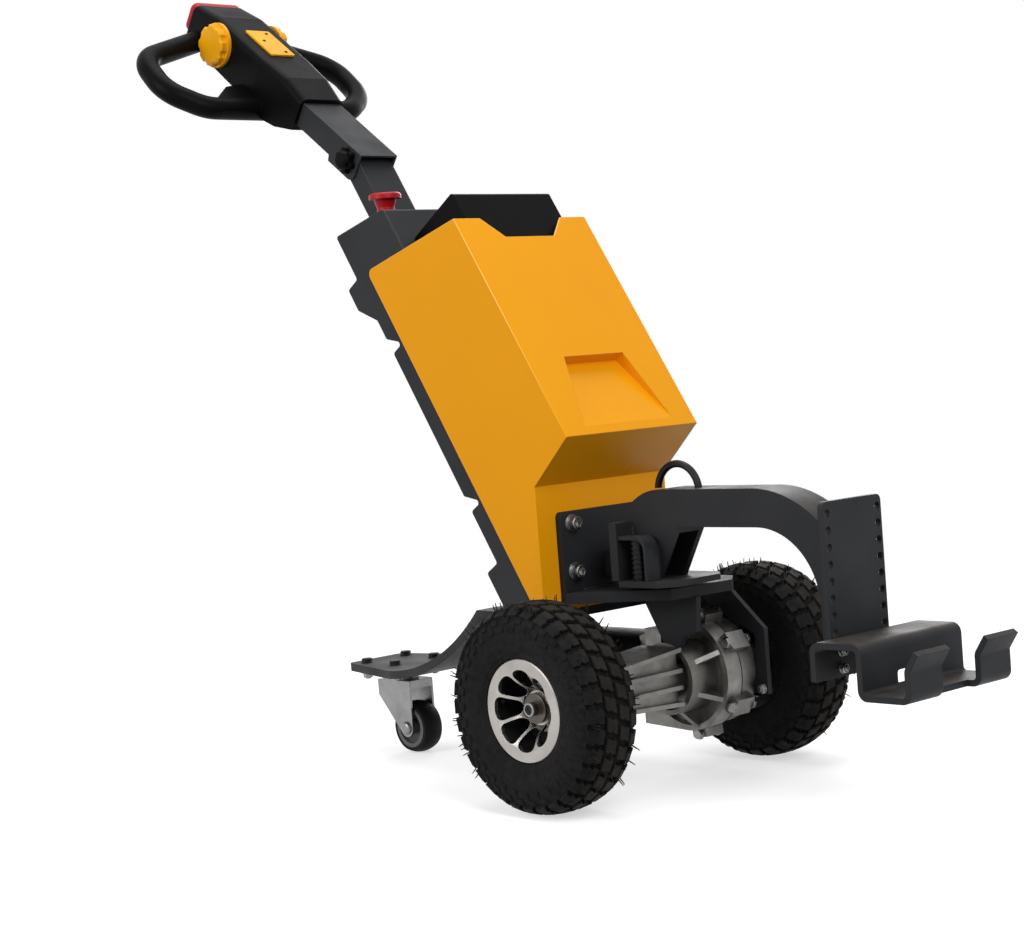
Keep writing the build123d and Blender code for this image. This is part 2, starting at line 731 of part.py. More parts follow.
leg_front_x = caster_axle_x + FORK_FOOT_R
leg_rear_x = leg_front_x - FORK_LEG_W
with BuildPart() as caster_fork:
    with BuildSketch(level_plane(fork_top_z)):
        with Locations((CASTER_X, 0)):
            Circle(CASTER_RACE_R)
    extrude(amount=CASTER_RACE_H - SEAT_GAP)
    with BuildSketch(level_plane(fork_top_z)):
        with Locations(((leg_front_x + leg_rear_x) / 2, 0)):
            Rectangle(FORK_LEG_W, fork_in_w + 2 * CASTER_FORK_T)
    extrude(amount=-CASTER_FORK_T)
    with BuildSketch(cross_plane(leg_front_x)):
        with Locations((0, fork_top_z - FORK_CROWN_H / 2)):
            Rectangle(fork_in_w + 2 * CASTER_FORK_T, FORK_CROWN_H)
    extrude(amount=-CASTER_FORK_T)
    for leg_y in (fork_in_w / 2 + CASTER_FORK_T, -fork_in_w / 2):
        with BuildSketch(side_plane(leg_y)):
            with BuildLine():
                Polyline(
                    (leg_rear_x, fork_top_z),
                    (leg_front_x, fork_top_z),
                    (leg_front_x, CASTER_R),
                    (caster_axle_x - FORK_FOOT_R, CASTER_R - FORK_FOOT_R / 3),
                    (leg_rear_x, fork_top_z - FORK_LEG_H),
                    close=True,
                )
            make_face()
            with Locations((caster_axle_x, CASTER_R)):
                Circle(FORK_FOOT_R)
        extrude(amount=CASTER_FORK_T)
    with BuildSketch(side_plane(fork_in_w / 2 + CASTER_FORK_T + CASTER_AXLE_R)):
        with Locations((caster_axle_x, CASTER_R)):
            Circle(CASTER_AXLE_R)
    extrude(amount=fork_in_w + 2 * CASTER_FORK_T + 2 * CASTER_AXLE_R)
    with BuildSketch(level_plane(caster_race_z)):
        with Locations((CASTER_X, 0)):
            Circle(CASTER_KING_R + PIN_GAP)
    extrude(amount=-CASTER_RACE_H - CASTER_FORK_T, mode=Mode.SUBTRACT)
finish(caster_fork, "caster_fork")

caster_line = Axis((AXLE_X + caster_axle_x, 0, CASTER_R), (0, 1, 0))
with BuildPart() as caster_hub:
    with BuildSketch(cross_plane(caster_axle_x)):
        with BuildLine():
            Polyline(
                (-fork_in_w / 2 + SEAT_GAP, CASTER_R + CASTER_AXLE_R + PIN_GAP),
                (fork_in_w / 2 - SEAT_GAP, CASTER_R + CASTER_AXLE_R + PIN_GAP),
                (fork_in_w / 2 - SEAT_GAP, CASTER_R + CASTER_HUB_R),
                (CASTER_W / 4, CASTER_R + CASTER_HUB_R),
                (CASTER_W / 4, 2 * CASTER_R - CASTER_TREAD - CASTER_RING),
                (CASTER_W / 2, 2 * CASTER_R - CASTER_TREAD - CASTER_RING),
                (CASTER_W / 2, 2 * CASTER_R - CASTER_TREAD),
                (-CASTER_W / 2, 2 * CASTER_R - CASTER_TREAD),
                (-CASTER_W / 2, 2 * CASTER_R - CASTER_TREAD - CASTER_RING),
                (-CASTER_W / 4, 2 * CASTER_R - CASTER_TREAD - CASTER_RING),
                (-CASTER_W / 4, CASTER_R + CASTER_HUB_R),
                (-fork_in_w / 2 + SEAT_GAP, CASTER_R + CASTER_HUB_R),
                close=True,
            )
        make_face()
    revolve(axis=caster_line)
finish(caster_hub, "caster_hub")

with BuildPart() as caster_tyre:
    with BuildSketch(cross_plane(caster_axle_x)):
        with BuildLine():
            Polyline(
                (-CASTER_W / 2, 2 * CASTER_R - CASTER_CROWN),
                (-CASTER_W / 2, 2 * CASTER_R - CASTER_TREAD),
                (CASTER_W / 2, 2 * CASTER_R - CASTER_TREAD),
                (CASTER_W / 2, 2 * CASTER_R - CASTER_CROWN),
            )
            ThreePointArc(
                (CASTER_W / 2, 2 * CASTER_R - CASTER_CROWN),
                (0, 2 * CASTER_R),
                (-CASTER_W / 2, 2 * CASTER_R - CASTER_CROWN),
            )
        make_face()
    revolve(axis=caster_line)
finish(caster_tyre, "caster_tyre")

# Drive unit: finned axle tube, drum gearbox in two halves, motor behind it
def drum_face(grow=0):
    """Hull around the drum and the motor's pad, drawn on a side plane."""
    with Locations((0, TYRE_R)):
        Circle(DRUM_R + grow)
    with Locations((MOTOR_X + RIB_T / 2, (MOTOR_PAD_LOW_Z + MOTOR_PAD_TOP_Z) / 2)):
        Rectangle(RIB_T, MOTOR_PAD_TOP_Z - MOTOR_PAD_LOW_Z + 2 * grow)
    make_hull()


def ring_lugs():
    """Clamp lugs with bolt holes around the drum's rim, drawn on a side plane."""
    for angle in LUG_ANGLES:
        lug_x = LUG_PITCH_R * cos(radians(angle))
        lug_z = TYRE_R + LUG_PITCH_R * sin(radians(angle))
        with Locations(Location((lug_x, lug_z), angle)):
            Rectangle(LUG_H, LUG_W)


def lug_holes():
    """Bolt holes of the clamp lugs."""
    for angle in LUG_ANGLES:
        hole_r = LUG_PITCH_R + LUG_H / 4
        with Locations((hole_r * cos(radians(angle)), TYRE_R + hole_r * sin(radians(angle)))):
            Circle(LUG_HOLE_D / 2)


with BuildPart() as gearbox_case:
    with BuildSketch(side_plane(DRUM_SPLIT_Y)):
        drum_face()
    extrude(amount=DRUM_SPLIT_Y - DRUM_NEAR_Y)
    with BuildSketch(side_plane(DRUM_NEAR_Y)):
        with Locations((0, TYRE_R)):
            Circle(DRUM_R - DRUM_RIM_T)
    extrude(amount=-DRUM_DISH, mode=Mode.SUBTRACT)
    with BuildSketch(side_plane(DRUM_SPLIT_Y)):
        ring_lugs()
        with Locations((0, TYRE_R)):
            Circle(DRUM_R - DRUM_RIM_T, mode=Mode.SUBTRACT)
    extrude(amount=LUG_REACH)
    with BuildSketch(side_plane(DRUM_NEAR_Y + DRUM_DISH)):
        with Locations((0, TYRE_R)):
            Circle(NECK_R)
    extrude(amount=DRUM_NEAR_Y + DRUM_DISH - NECK_NEAR_Y)
    with BuildSketch(cross_plane(0)):
        with BuildLine():
            Polyline(
                (DRUM_NEAR_Y + DRUM_DISH, TYRE_R + NECK_R - RIB_SINK),
                (DRUM_NEAR_Y + DRUM_DISH, TYRE_R + DRUM_R - DRUM_RIM_T / 2),
                (DRUM_NEAR_Y, TYRE_R + DRUM_R - DRUM_RIM_T / 2),
                (NECK_NEAR_Y + NECK_RIB_IN, TYRE_R + NECK_R - RIB_SINK),
                close=True,
            )
        make_face()
    rib = extrude(amount=RIB_T / 2, both=True, mode=Mode.PRIVATE)
    for rib_angle in NECK_RIB_ANGLES:
        add(rib.rotate(AXLE_LINE, rib_angle))
    with BuildSketch(side_plane(DRUM_NEAR_Y + DRUM_DISH)):
        with Locations((sum(BLOCK_X) / 2, sum(BLOCK_Z) / 2)):
            Rectangle(BLOCK_X[1] - BLOCK_X[0], BLOCK_Z[1] - BLOCK_Z[0])
    extrude(amount=DRUM_NEAR_Y + DRUM_DISH - BLOCK_NEAR_Y)
    with BuildSketch(side_plane(NECK_NEAR_Y)):
        with Locations((0, TYRE_R)):
            Circle(NECK_BORE_R)
    extrude(amount=-NECK_BORE, mode=Mode.SUBTRACT)
    with BuildSketch(side_plane(DRUM_SPLIT_Y)):
        lug_holes()
    extrude(amount=LUG_REACH, mode=Mode.SUBTRACT)
finish(gearbox_case, "gearbox_case")

with BuildPart() as gearbox_cover:
    with BuildSketch(side_plane(DRUM_FAR_Y)):
        drum_face(-DRUM_STEP)
    extrude(amount=DRUM_FAR_Y - DRUM_SPLIT_Y)
    with BuildSketch(side_plane(DRUM_SPLIT_Y + LUG_REACH)):
        ring_lugs()
    extrude(amount=LUG_REACH)
    with BuildSketch(side_plane(DRUM_SPLIT_Y + LUG_REACH)):
        lug_holes()
    extrude(amount=LUG_REACH, mode=Mode.SUBTRACT)
    with BuildSketch(side_plane(-TUBE_NEAR_Y)):
        with Locations((0, TYRE_R)):
            Circle(OUTER_TUBE_R)
    extrude(amount=-TUBE_NEAR_Y - DRUM_FAR_Y)
    with BuildSketch(side_plane(-TUBE_NEAR_Y)):
        with Locations((0, TYRE_R)):
            Circle(SHAFT_R + PIN_GAP)
    extrude(amount=SHAFT_IN, mode=Mode.SUBTRACT)
finish(gearbox_cover, "gearbox_cover")

with BuildPart() as axle_tube:
    with BuildSketch(side_plane(NECK_NEAR_Y + NECK_BORE)):
        with Locations((0, TYRE_R)):
            Circle(TUBE_CORE_R)
    extrude(amount=NECK_NEAR_Y + NECK_BORE - TUBE_NEAR_Y)
    with BuildSketch(cross_plane(0)):
        for wheel_h, neck_h in TUBE_FINS:
            with BuildLine():
                Polyline(
                    (TUBE_NEAR_Y, TYRE_R + wheel_h - TUBE_FIN_T / 2),
                    (TUBE_FIN_END_Y, TYRE_R + neck_h - TUBE_FIN_T / 2),
                    (TUBE_FIN_END_Y, TYRE_R + neck_h + TUBE_FIN_T / 2),
                    (TUBE_NEAR_Y, TYRE_R + wheel_h + TUBE_FIN_T / 2),
                    close=True,
                )
            make_face()
    extrude(amount=TUBE_FIN_W / 2, both=True)
    with BuildSketch(cross_plane(0)):
        with BuildLine():
            Polyline(
                (TUBE_NEAR_Y, TYRE_R + TUBE_FINS[0][0]),
                (TUBE_FIN_END_Y, TYRE_R + TUBE_FINS[0][1]),
                (TUBE_FIN_END_Y, TYRE_R + TUBE_FINS[-1][1]),
                (TUBE_NEAR_Y, TYRE_R + TUBE_FINS[-1][0]),
                close=True,
            )
        make_face()
    extrude(amount=TUBE_CORE_R, both=True)
    with BuildSketch(side_plane(TUBE_NEAR_Y)):
        with Locations((0, TYRE_R)):
            Circle(SHAFT_R + PIN_GAP)
    extrude(amount=-SHAFT_IN, mode=Mode.SUBTRACT)
finish(axle_tube, "axle_tube")

with BuildPart() as drive_motor:
    with BuildSketch(cross_plane(MOTOR_X)):
        with Locations((MOTOR_Y, TYRE_R)):
            Circle(MOTOR_R)
    extrude(amount=-MOTOR_LEN)
    chamfer(drive_motor.faces().sort_by(Axis.X)[0].edges(), MOTOR_CHAMFER)
finish(drive_motor, "drive_motor")

# Hangers that carry the drive unit below the tongue
with BuildPart() as outer_hanger:
    with BuildSketch(side_plane(DRUM_FAR_Y + HANGER_T)):
        with BuildLine():
            Polyline(
                (HANGER_KNEE_X, HANGER_FOOT_Z),
                (HANGER_KNEE_X, HANGER_KNEE_Z),
                (HANGER_TOP_X, TONGUE_LOW_Z),
                (GUSSET_X[0], TONGUE_LOW_Z),
                (GUSSET_X[1], TONGUE_LOW_Z - GUSSET_H),
                (HANGER_TOP_X - HANGER_BAND, TONGUE_LOW_Z - GUSSET_H),
                (HANGER_KNEE_X - HANGER_BAND, HANGER_KNEE_Z - HANGER_BAND / 2),
                (HANGER_KNEE_X - HANGER_BAND, HANGER_FOOT_Z + HANGER_TAB_H),
                (HANGER_TAB_X, HANGER_FOOT_Z + HANGER_TAB_H),
                (HANGER_TAB_X, HANGER_FOOT_Z),
                close=True,
            )
        make_face()
    extrude(amount=HANGER_T)
finish(outer_hanger, "outer_hanger")

with BuildPart() as inner_hanger:
    with BuildSketch(side_plane(NECK_NEAR_Y + INNER_HANGER_T)):
        with BuildLine():
            Polyline(*INNER_HANGER_POINTS, close=True)
        make_face()
        with Locations((0, TYRE_R)):
            Circle(NECK_R + SEAT_GAP, mode=Mode.SUBTRACT)
    extrude(amount=INNER_HANGER_T)
finish(inner_hanger, "inner_hanger")

# Wheels: tyre, dished rim with windows, and a hub on the drive shaft
for side_name, side in SIDES.items():
    mid_y = side * TRACK / 2

    with BuildPart() as tyre:
        with BuildSketch(cross_plane(0)):
            with BuildLine():
                for half in (1, -1):
                    ThreePointArc(
                        (mid_y + half * BEAD_W / 2, TYRE_R + RIM_LIP_R),
                        (mid_y + half * TYRE_W / 2, TYRE_R + BULGE_R),
                        (mid_y + half * TREAD_EDGE_W / 2, TYRE_R + TREAD_EDGE_R),
                    )
                    Line(
                        (mid_y + half * BEAD_W / 2, TYRE_R + RIM_LIP_R),
                        (mid_y + half * BEAD_W / 2, TYRE_R + BEAD_R),
                    )
                Line((mid_y - BEAD_W / 2, TYRE_R + BEAD_R), (mid_y + BEAD_W / 2, TYRE_R + BEAD_R))
                ThreePointArc(
                    (mid_y - TREAD_EDGE_W / 2, TYRE_R + TREAD_EDGE_R),
                    (mid_y, 2 * TYRE_R - TREAD_H),
                    (mid_y + TREAD_EDGE_W / 2, TYRE_R + TREAD_EDGE_R),
                )
            make_face()
        revolve(axis=AXLE_LINE)
        for row_y, row_w, row_r, row_turn in TREAD_ROWS:
            low_r = row_r - TREAD_H - TREAD_SINK
            block_plane = Plane(origin=(AXLE_X, mid_y + row_y, TYRE_R), x_dir=(0, 0, 1), z_dir=(0, 1, 0))
            with Locations(block_plane):
                with PolarLocations((row_r + low_r) / 2, TREAD_BLOCKS, row_turn * 360 / TREAD_BLOCKS):
                    Box(row_r - low_r, TREAD_BLOCK_LEN, row_w)
    finish(tyre, f"tyre_{side_name}")

    with BuildPart() as rim:
        with BuildSketch(cross_plane(0)):
            with BuildLine():
                Polyline(
                    (mid_y - side * RIM_LIP_OUT, TYRE_R + RIM_LIP_R),
                    (mid_y - side * (RIM_LIP_OUT - RIM_LIP_T), TYRE_R + RIM_LIP_R),
                    (mid_y - side * (RIM_LIP_OUT - RIM_LIP_T), TYRE_R + BEAD_R - SEAT_GAP),
                    (mid_y + side * (RIM_LIP_OUT - RIM_LIP_T), TYRE_R + BEAD_R - SEAT_GAP),
                    (mid_y + side * (RIM_LIP_OUT - RIM_LIP_T), TYRE_R + RIM_LIP_R),
                    (mid_y + side * RIM_LIP_OUT, TYRE_R + RIM_LIP_R),
                    (mid_y + side * RIM_LIP_OUT, TYRE_R + BEAD_R - RIM_WALL),
                    (mid_y + side * RIM_DISC_OUT, TYRE_R + RIM_BOSS_R),
                    (mid_y + side * RIM_DISC_OUT, TYRE_R + HUB_R),
                    (mid_y + side * (RIM_DISC_OUT - RIM_DISC_T), TYRE_R + HUB_R),
                    (mid_y + side * (RIM_DISC_OUT - RIM_DISC_T), TYRE_R + RIM_BOSS_R),
                    (mid_y + side * (RIM_LIP_OUT - RIM_DISC_T), TYRE_R + BEAD_R - RIM_WALL),
                    (mid_y - side * RIM_LIP_OUT, TYRE_R + BEAD_R - RIM_WALL),
                    close=True,
                )
            make_face()
        revolve(axis=AXLE_LINE)
        with BuildSketch(side_plane(mid_y + side * RIM_LIP_OUT)) as windows:
            with Locations((0, TYRE_R)):
                with PolarLocations(0, RIM_WINDOWS):
                    Polygon(
                        *WINDOW_HALF,
                        *[(radius, -half) for radius, half in reversed(WINDOW_HALF)],
                        align=None,
                    )
            fillet(windows.vertices(), WINDOW_R)
        extrude(amount=side * (RIM_LIP_OUT + RIM_DISC_T), mode=Mode.SUBTRACT)
    finish(rim, f"rim_{side_name}")

    with BuildPart() as hub:
        shaft_end = side * (-TUBE_NEAR_Y - SHAFT_IN + PIN_GAP)
        with BuildSketch(cross_plane(0)):
            with BuildLine():
                Polyline(
                    (shaft_end, TYRE_R),
                    (shaft_end, TYRE_R + SHAFT_R),
                    (side * (-TUBE_NEAR_Y + HUB_END_GAP), TYRE_R + SHAFT_R),
                    (side * (-TUBE_NEAR_Y + HUB_END_GAP), TYRE_R + HUB_R + HUB_FLANGE),
                    (mid_y + side * (RIM_DISC_OUT - RIM_DISC_T), TYRE_R + HUB_R + HUB_FLANGE),
                    (mid_y + side * (RIM_DISC_OUT - RIM_DISC_T), TYRE_R + HUB_R),
                    (mid_y + side * HUB_OUT, TYRE_R + HUB_R),
                    (mid_y + side * HUB_OUT, TYRE_R + NUT_R),
                    (mid_y + side * NUT_OUT, TYRE_R + NUT_R),
                    (mid_y + side * NUT_OUT, TYRE_R),
                    close=True,
                )
            make_face()
        revolve(axis=AXLE_LINE)
    finish(hub, f"hub_{side_name}")

# Hitch: bolted plate on the cover's foot, tongue below it, shelf and gooseneck
with BuildPart() as front_plate:
    with BuildSketch(cross_plane(COVER_FOOT_X)):
        with Locations((0, (PLATE_TOP_Z + TONGUE_Z) / 2)):
            plate = Rectangle(PLATE_W, PLATE_TOP_Z - TONGUE_Z)
        fillet(plate.vertices().sort_by(Axis.Y)[-2:], PLATE_CORNER_R)
        for bolt_z in PLATE_BOLT_ZS:
            with Locations((0, bolt_z)):
                with GridLocations(2 * PLATE_BOLT_Y, 0, 2, 1):
                    Circle(PLATE_BOLT_D / 2, mode=Mode.SUBTRACT)
    extrude(amount=PLATE_T)
finish(front_plate, "front_plate")

with BuildPart() as hitch_shelf:
    with BuildSketch(level_plane(TONGUE_LOW_Z)):
        with BuildLine():
            Polyline(
                (COVER_FOOT_X, TONGUE_FRONT[0][1]),
                *TONGUE_FRONT,
                (COVER_FOOT_X, TONGUE_FRONT[-1][1]),
                close=True,
            )
        make_face()
    extrude(amount=TONGUE_T)
    with BuildSketch(level_plane(TONGUE_Z)):
        with Locations((SHELF_BOSS_X, 0)):
            Circle(SHELF_BOSS_R)
    extrude(amount=SHELF_Z - SHELF_T - TONGUE_Z)
    with BuildSketch(level_plane(SHELF_Z - SHELF_T)):
        with BuildLine():
            Polyline(
                (NECK_REAR_X, NECK_W / 2),
                (SHELF_STEP_X, NECK_W / 2),
                (SHELF_STEP_X, SHELF_W / 2),
                (SHELF_FRONT_X - SHELF_CORNER, SHELF_W / 2),
                (SHELF_FRONT_X, SHELF_W / 2 - SHELF_CORNER),
                (SHELF_FRONT_X, SHELF_CORNER - SHELF_W / 2),
                (SHELF_FRONT_X - SHELF_CORNER, -SHELF_W / 2),
                (SHELF_STEP_X, -SHELF_W / 2),
                (SHELF_STEP_X, -NECK_W / 2),
                (NECK_REAR_X, -NECK_W / 2),
                close=True,
            )
        make_face()
    extrude(amount=SHELF_T)
finish(hitch_shelf, "hitch_shelf")

hole_plate_rear_x = HOLE_PLATE_X - HOLE_PLATE_T
neck_arch_z = NECK_TOP_Z - NECK_DEPTH
neck_leg_r = NECK_LEG_X - NECK_FLAT_X
with BuildPart() as gooseneck:
    with BuildSketch(side_plane(NECK_W / 2)):
        with BuildLine():
            Polyline(
                (NECK_REAR_X, NECK_TOP_Z - NECK_REAR_R),
                (NECK_REAR_X, SHELF_Z),
                (NECK_FOOT_X, SHELF_Z),
                (NECK_ARCH_X, neck_arch_z),
                (NECK_FLAT_X, neck_arch_z),
            )
            RadiusArc((NECK_FLAT_X, neck_arch_z), (NECK_LEG_X, neck_arch_z - neck_leg_r), neck_leg_r)
            Polyline(
                (NECK_LEG_X, neck_arch_z - neck_leg_r),
                (NECK_LEG_X, NECK_LEG_LOW_Z),
                (hole_plate_rear_x, NECK_LEG_LOW_Z),
                (hole_plate_rear_x, NECK_END_TOP_Z),
            )
            ThreePointArc(
                (hole_plate_rear_x, NECK_END_TOP_Z),
                (NECK_OUTER_X, NECK_OUTER_Z),
                (NECK_FLAT_X, NECK_TOP_Z),
            )
            Line((NECK_FLAT_X, NECK_TOP_Z), (NECK_REAR_X + NECK_REAR_R, NECK_TOP_Z))
            RadiusArc(
                (NECK_REAR_X + NECK_REAR_R, NECK_TOP_Z),
                (NECK_REAR_X, NECK_TOP_Z - NECK_REAR_R),
                -NECK_REAR_R,
            )
        make_face()
    extrude(amount=NECK_W)
    with BuildSketch(side_plane(NECK_W / 2 - NECK_WALL)):
        with BuildLine():
            Polyline(
                (CROSS_X + CROSS_T, SHELF_Z),
                (NECK_ARCH_X, SHELF_Z),
                (NECK_ARCH_X, neck_arch_z - NECK_WALL),
                (CROSS_X + CROSS_T, neck_arch_z - NECK_WALL),
                close=True,
            )
        make_face()
    extrude(amount=NECK_W - 2 * NECK_WALL, mode=Mode.SUBTRACT)
    with BuildSketch(cross_plane(CROSS_X)):
        with Locations((0, (SHELF_Z + CROSS_TOP_Z) / 2)):
            Rectangle(CROSS_W, CROSS_TOP_Z - SHELF_Z)
    extrude(amount=CROSS_T)
    with BuildSketch(side_plane(NECK_BLOCK_W / 2)):
        with BuildLine():
            Polyline(
                (PLATE_X, SHELF_Z),
                (NECK_REAR_X, SHELF_Z),
                (NECK_REAR_X, NECK_TOP_Z - NECK_REAR_R),
                (PLATE_X, NECK_TOP_Z - NECK_REAR_R),
                close=True,
            )
        make_face()
    extrude(amount=NECK_BLOCK_W)
finish(gooseneck, "gooseneck")

with BuildPart() as lifting_ring:
    with Locations(side_plane(0)):
        with Locations((RING_X, NECK_TOP_Z - RING_SINK)):
            Torus(RING_R, RING_WIRE_R)
    split(bisect_by=level_plane(NECK_TOP_Z))
finish(lifting_ring, "lifting_ring")

with BuildPart() as latch_strap:
    with BuildSketch(side_plane(LATCH_Y + LATCH_W / 2)):
        with BuildLine():
            bent_sheet(
                [
                    (LATCH_FRONT_X, SHELF_Z),
                    (LATCH_FRONT_X, LATCH_TOP_Z),
                    (CROSS_X + CROSS_T, LATCH_TOP_Z),
                ],
                LATCH_T,
                LATCH_BEND_R,
            )
        make_face()
    extrude(amount=LATCH_W)
finish(latch_strap, "latch_strap")

spring_line = Axis((AXLE_X + SPRING_X, LATCH_Y, 0), (0, 0, 1))
spring_len = LATCH_TOP_Z - LATCH_T - SHELF_Z
spring_turns = int(spring_len / SPRING_PITCH)
with BuildPart() as latch_spring:
    with BuildSketch(Plane(origin=(AXLE_X + SPRING_X, LATCH_Y, SHELF_Z), x_dir=(1, 0, 0), z_dir=(0, -1, 0))):
        with Locations((SPRING_R - SPRING_WIRE, spring_len / 2)):
            Rectangle(SPRING_WIRE, spring_len)
        with Locations((SPRING_R - SPRING_WIRE / 2, spring_len / 2)):
            with GridLocations(0, SPRING_PITCH, 1, spring_turns):
                Rectangle(SPRING_WIRE, SPRING_WIRE)
    revolve(axis=spring_line)
finish(latch_spring, "latch_spring")

# Perforated plate and the towing cradle bolted to its lowest rows
with BuildPart() as hole_plate:
    with BuildSketch(cross_plane(hole_plate_rear_x)):
        with Locations((0, (HOLE_PLATE_TOP_Z + HOLE_PLATE_LOW_Z) / 2)):
            RectangleRounded(HOLE_PLATE_W, HOLE_PLATE_TOP_Z - HOLE_PLATE_LOW_Z, PLATE_CORNER_R)
        with Locations((0, HOLE_TOP_Z - HOLE_PITCH * (HOLE_ROWS - 1) / 2)):
            with GridLocations(2 * HOLE_COL_Y, HOLE_PITCH, 2, HOLE_ROWS):
                Circle(HOLE_D / 2, mode=Mode.SUBTRACT)
    extrude(amount=HOLE_PLATE_T)
finish(hole_plate, "hole_plate")

cradle_low_row_z = HOLE_TOP_Z - HOLE_PITCH * (HOLE_ROWS - 1)
cradle_flange_z = cradle_low_row_z - HOLE_D
hook_x = CRADLE_WALL_X + CRADLE_TROUGH
with BuildPart() as cradle:
    with BuildSketch(side_plane(CRADLE_W / 2)):
        with BuildLine():
            bent_sheet(
                [
                    (HOLE_PLATE_X, cradle_flange_z),
                    (HOLE_PLATE_X, CRADLE_TOP_Z),
                    (CRADLE_WALL_X, CRADLE_TOP_Z),
                    (CRADLE_WALL_X, CRADLE_LOW_Z + CRADLE_T),
                    (hook_x, CRADLE_LOW_Z + CRADLE_T),
                    (hook_x, CRADLE_HOOK_Z),
                    (CRADLE_TIP_X, CRADLE_TIP_Z),
                ],
                -CRADLE_T,
                CRADLE_BEND_R,
            )
        make_face()
    extrude(amount=CRADLE_W)
    with BuildSketch(level_plane(0)):
        with Locations((CRADLE_TIP_X, 0)):
            Rectangle(2 * (CRADLE_TIP_X - hook_x + CRADLE_BEND_R), CRADLE_GAP_W)
    extrude(amount=NECK_TOP_Z, mode=Mode.SUBTRACT)
    with BuildSketch(cross_plane(CRADLE_WALL_X)):
        with Locations((0, CRADLE_WINDOW_LOW_Z + CRADLE_WINDOW_H / 2)):
            RectangleRounded(CRADLE_WINDOW_W, CRADLE_WINDOW_H, CRADLE_WINDOW_H / 4)
    extrude(amount=CRADLE_T * 2, both=True, mode=Mode.SUBTRACT)
    with BuildSketch(cross_plane(HOLE_PLATE_X)):
        with Locations((0, cradle_low_row_z + HOLE_PITCH / 2)):
            with GridLocations(2 * HOLE_COL_Y, HOLE_PITCH, 2, 2):
                Circle(HOLE_D / 2)
    extrude(amount=CRADLE_T, mode=Mode.SUBTRACT)
finish(cradle, "cradle")

# Tiller post on the tray's back sheet, round at the pivot
with BuildPart() as tiller_post:
    with BuildSketch(lean_plane(POST_W / 2)):
        with Locations((POST_OUT, (POST_UP + PIVOT_UP) / 2)):
            Rectangle(POST_D, PIVOT_UP - POST_UP)
        with Locations((POST_OUT, PIVOT_UP)):
            Circle(POST_D / 2)
            Circle(BOLT_R + PIN_GAP, mode=Mode.SUBTRACT)
    extrude(amount=POST_W)
finish(tiller_post, "tiller_post")

# Upper arm: ears beside the post, a web over it, and a closed tube up to the head
EAR_IN_W = POST_W + 2 * EAR_GAP
ARM_W = EAR_IN_W + 2 * EAR_T
with BuildPart() as tiller_arm:
    with BuildSketch(tiller_plane(-ARM_W / 2)) as ears:
        with BuildLine():
            Polyline(
                (EAR_BACK, ARM_TOP),
                (ARM_LEN, ARM_TOP),
                (ARM_LEN, ARM_LOW),
                (EAR_END, ARM_LOW),
                (EAR_END - EAR_T, EAR_LOW),
                (EAR_BACK, EAR_LOW),
                close=True,
            )
        make_face()
        fillet(ears.vertices().sort_by_distance((EAR_BACK, EAR_LOW, 0))[0], EAR_CORNER_R)
        Circle(BOLT_R + PIN_GAP, mode=Mode.SUBTRACT)
    extrude(amount=ARM_W)
    with BuildSketch(tiller_plane(-EAR_IN_W / 2)):
        with BuildLine():
            Polyline(
                (2 * EAR_BACK, ARM_TOP - EAR_T),
                (EAR_END, ARM_TOP - EAR_T),
                (EAR_END, 2 * EAR_LOW),
                (2 * EAR_BACK, 2 * EAR_LOW),
                close=True,
            )
        make_face()
    extrude(amount=EAR_IN_W, mode=Mode.SUBTRACT)
finish(tiller_arm, "tiller_arm")

with BuildPart() as pivot_bolt:
    with BuildSketch(tiller_plane(-ARM_W / 2 - KNOB_H / 2)):
        Circle(BOLT_R)
    extrude(amount=ARM_W + KNOB_H / 2)
    with BuildSketch(tiller_plane(ARM_W / 2)):
        RegularPolygon(2 * BOLT_R, 6)
    extrude(amount=BOLT_R)
finish(pivot_bolt, "pivot_bolt")

with BuildPart() as pivot_knob:
    with BuildSketch(tiller_plane(-ARM_W / 2)):
        Circle(KNOB_R)
        with PolarLocations(KNOB_R, KNOB_LOBES):
            Circle(KNOB_R / 3)
        Circle(BOLT_R, mode=Mode.SUBTRACT)
    extrude(amount=-KNOB_H / 2)
    with BuildSketch(tiller_plane(-ARM_W / 2 - KNOB_H / 2)):
        Circle(KNOB_R)
    extrude(amount=-KNOB_H / 2)
    fillet(pivot_knob.faces().sort_by(Axis.Y)[0].edges(), KNOB_H / 2 - PIN_GAP)
finish(pivot_knob, "pivot_knob")

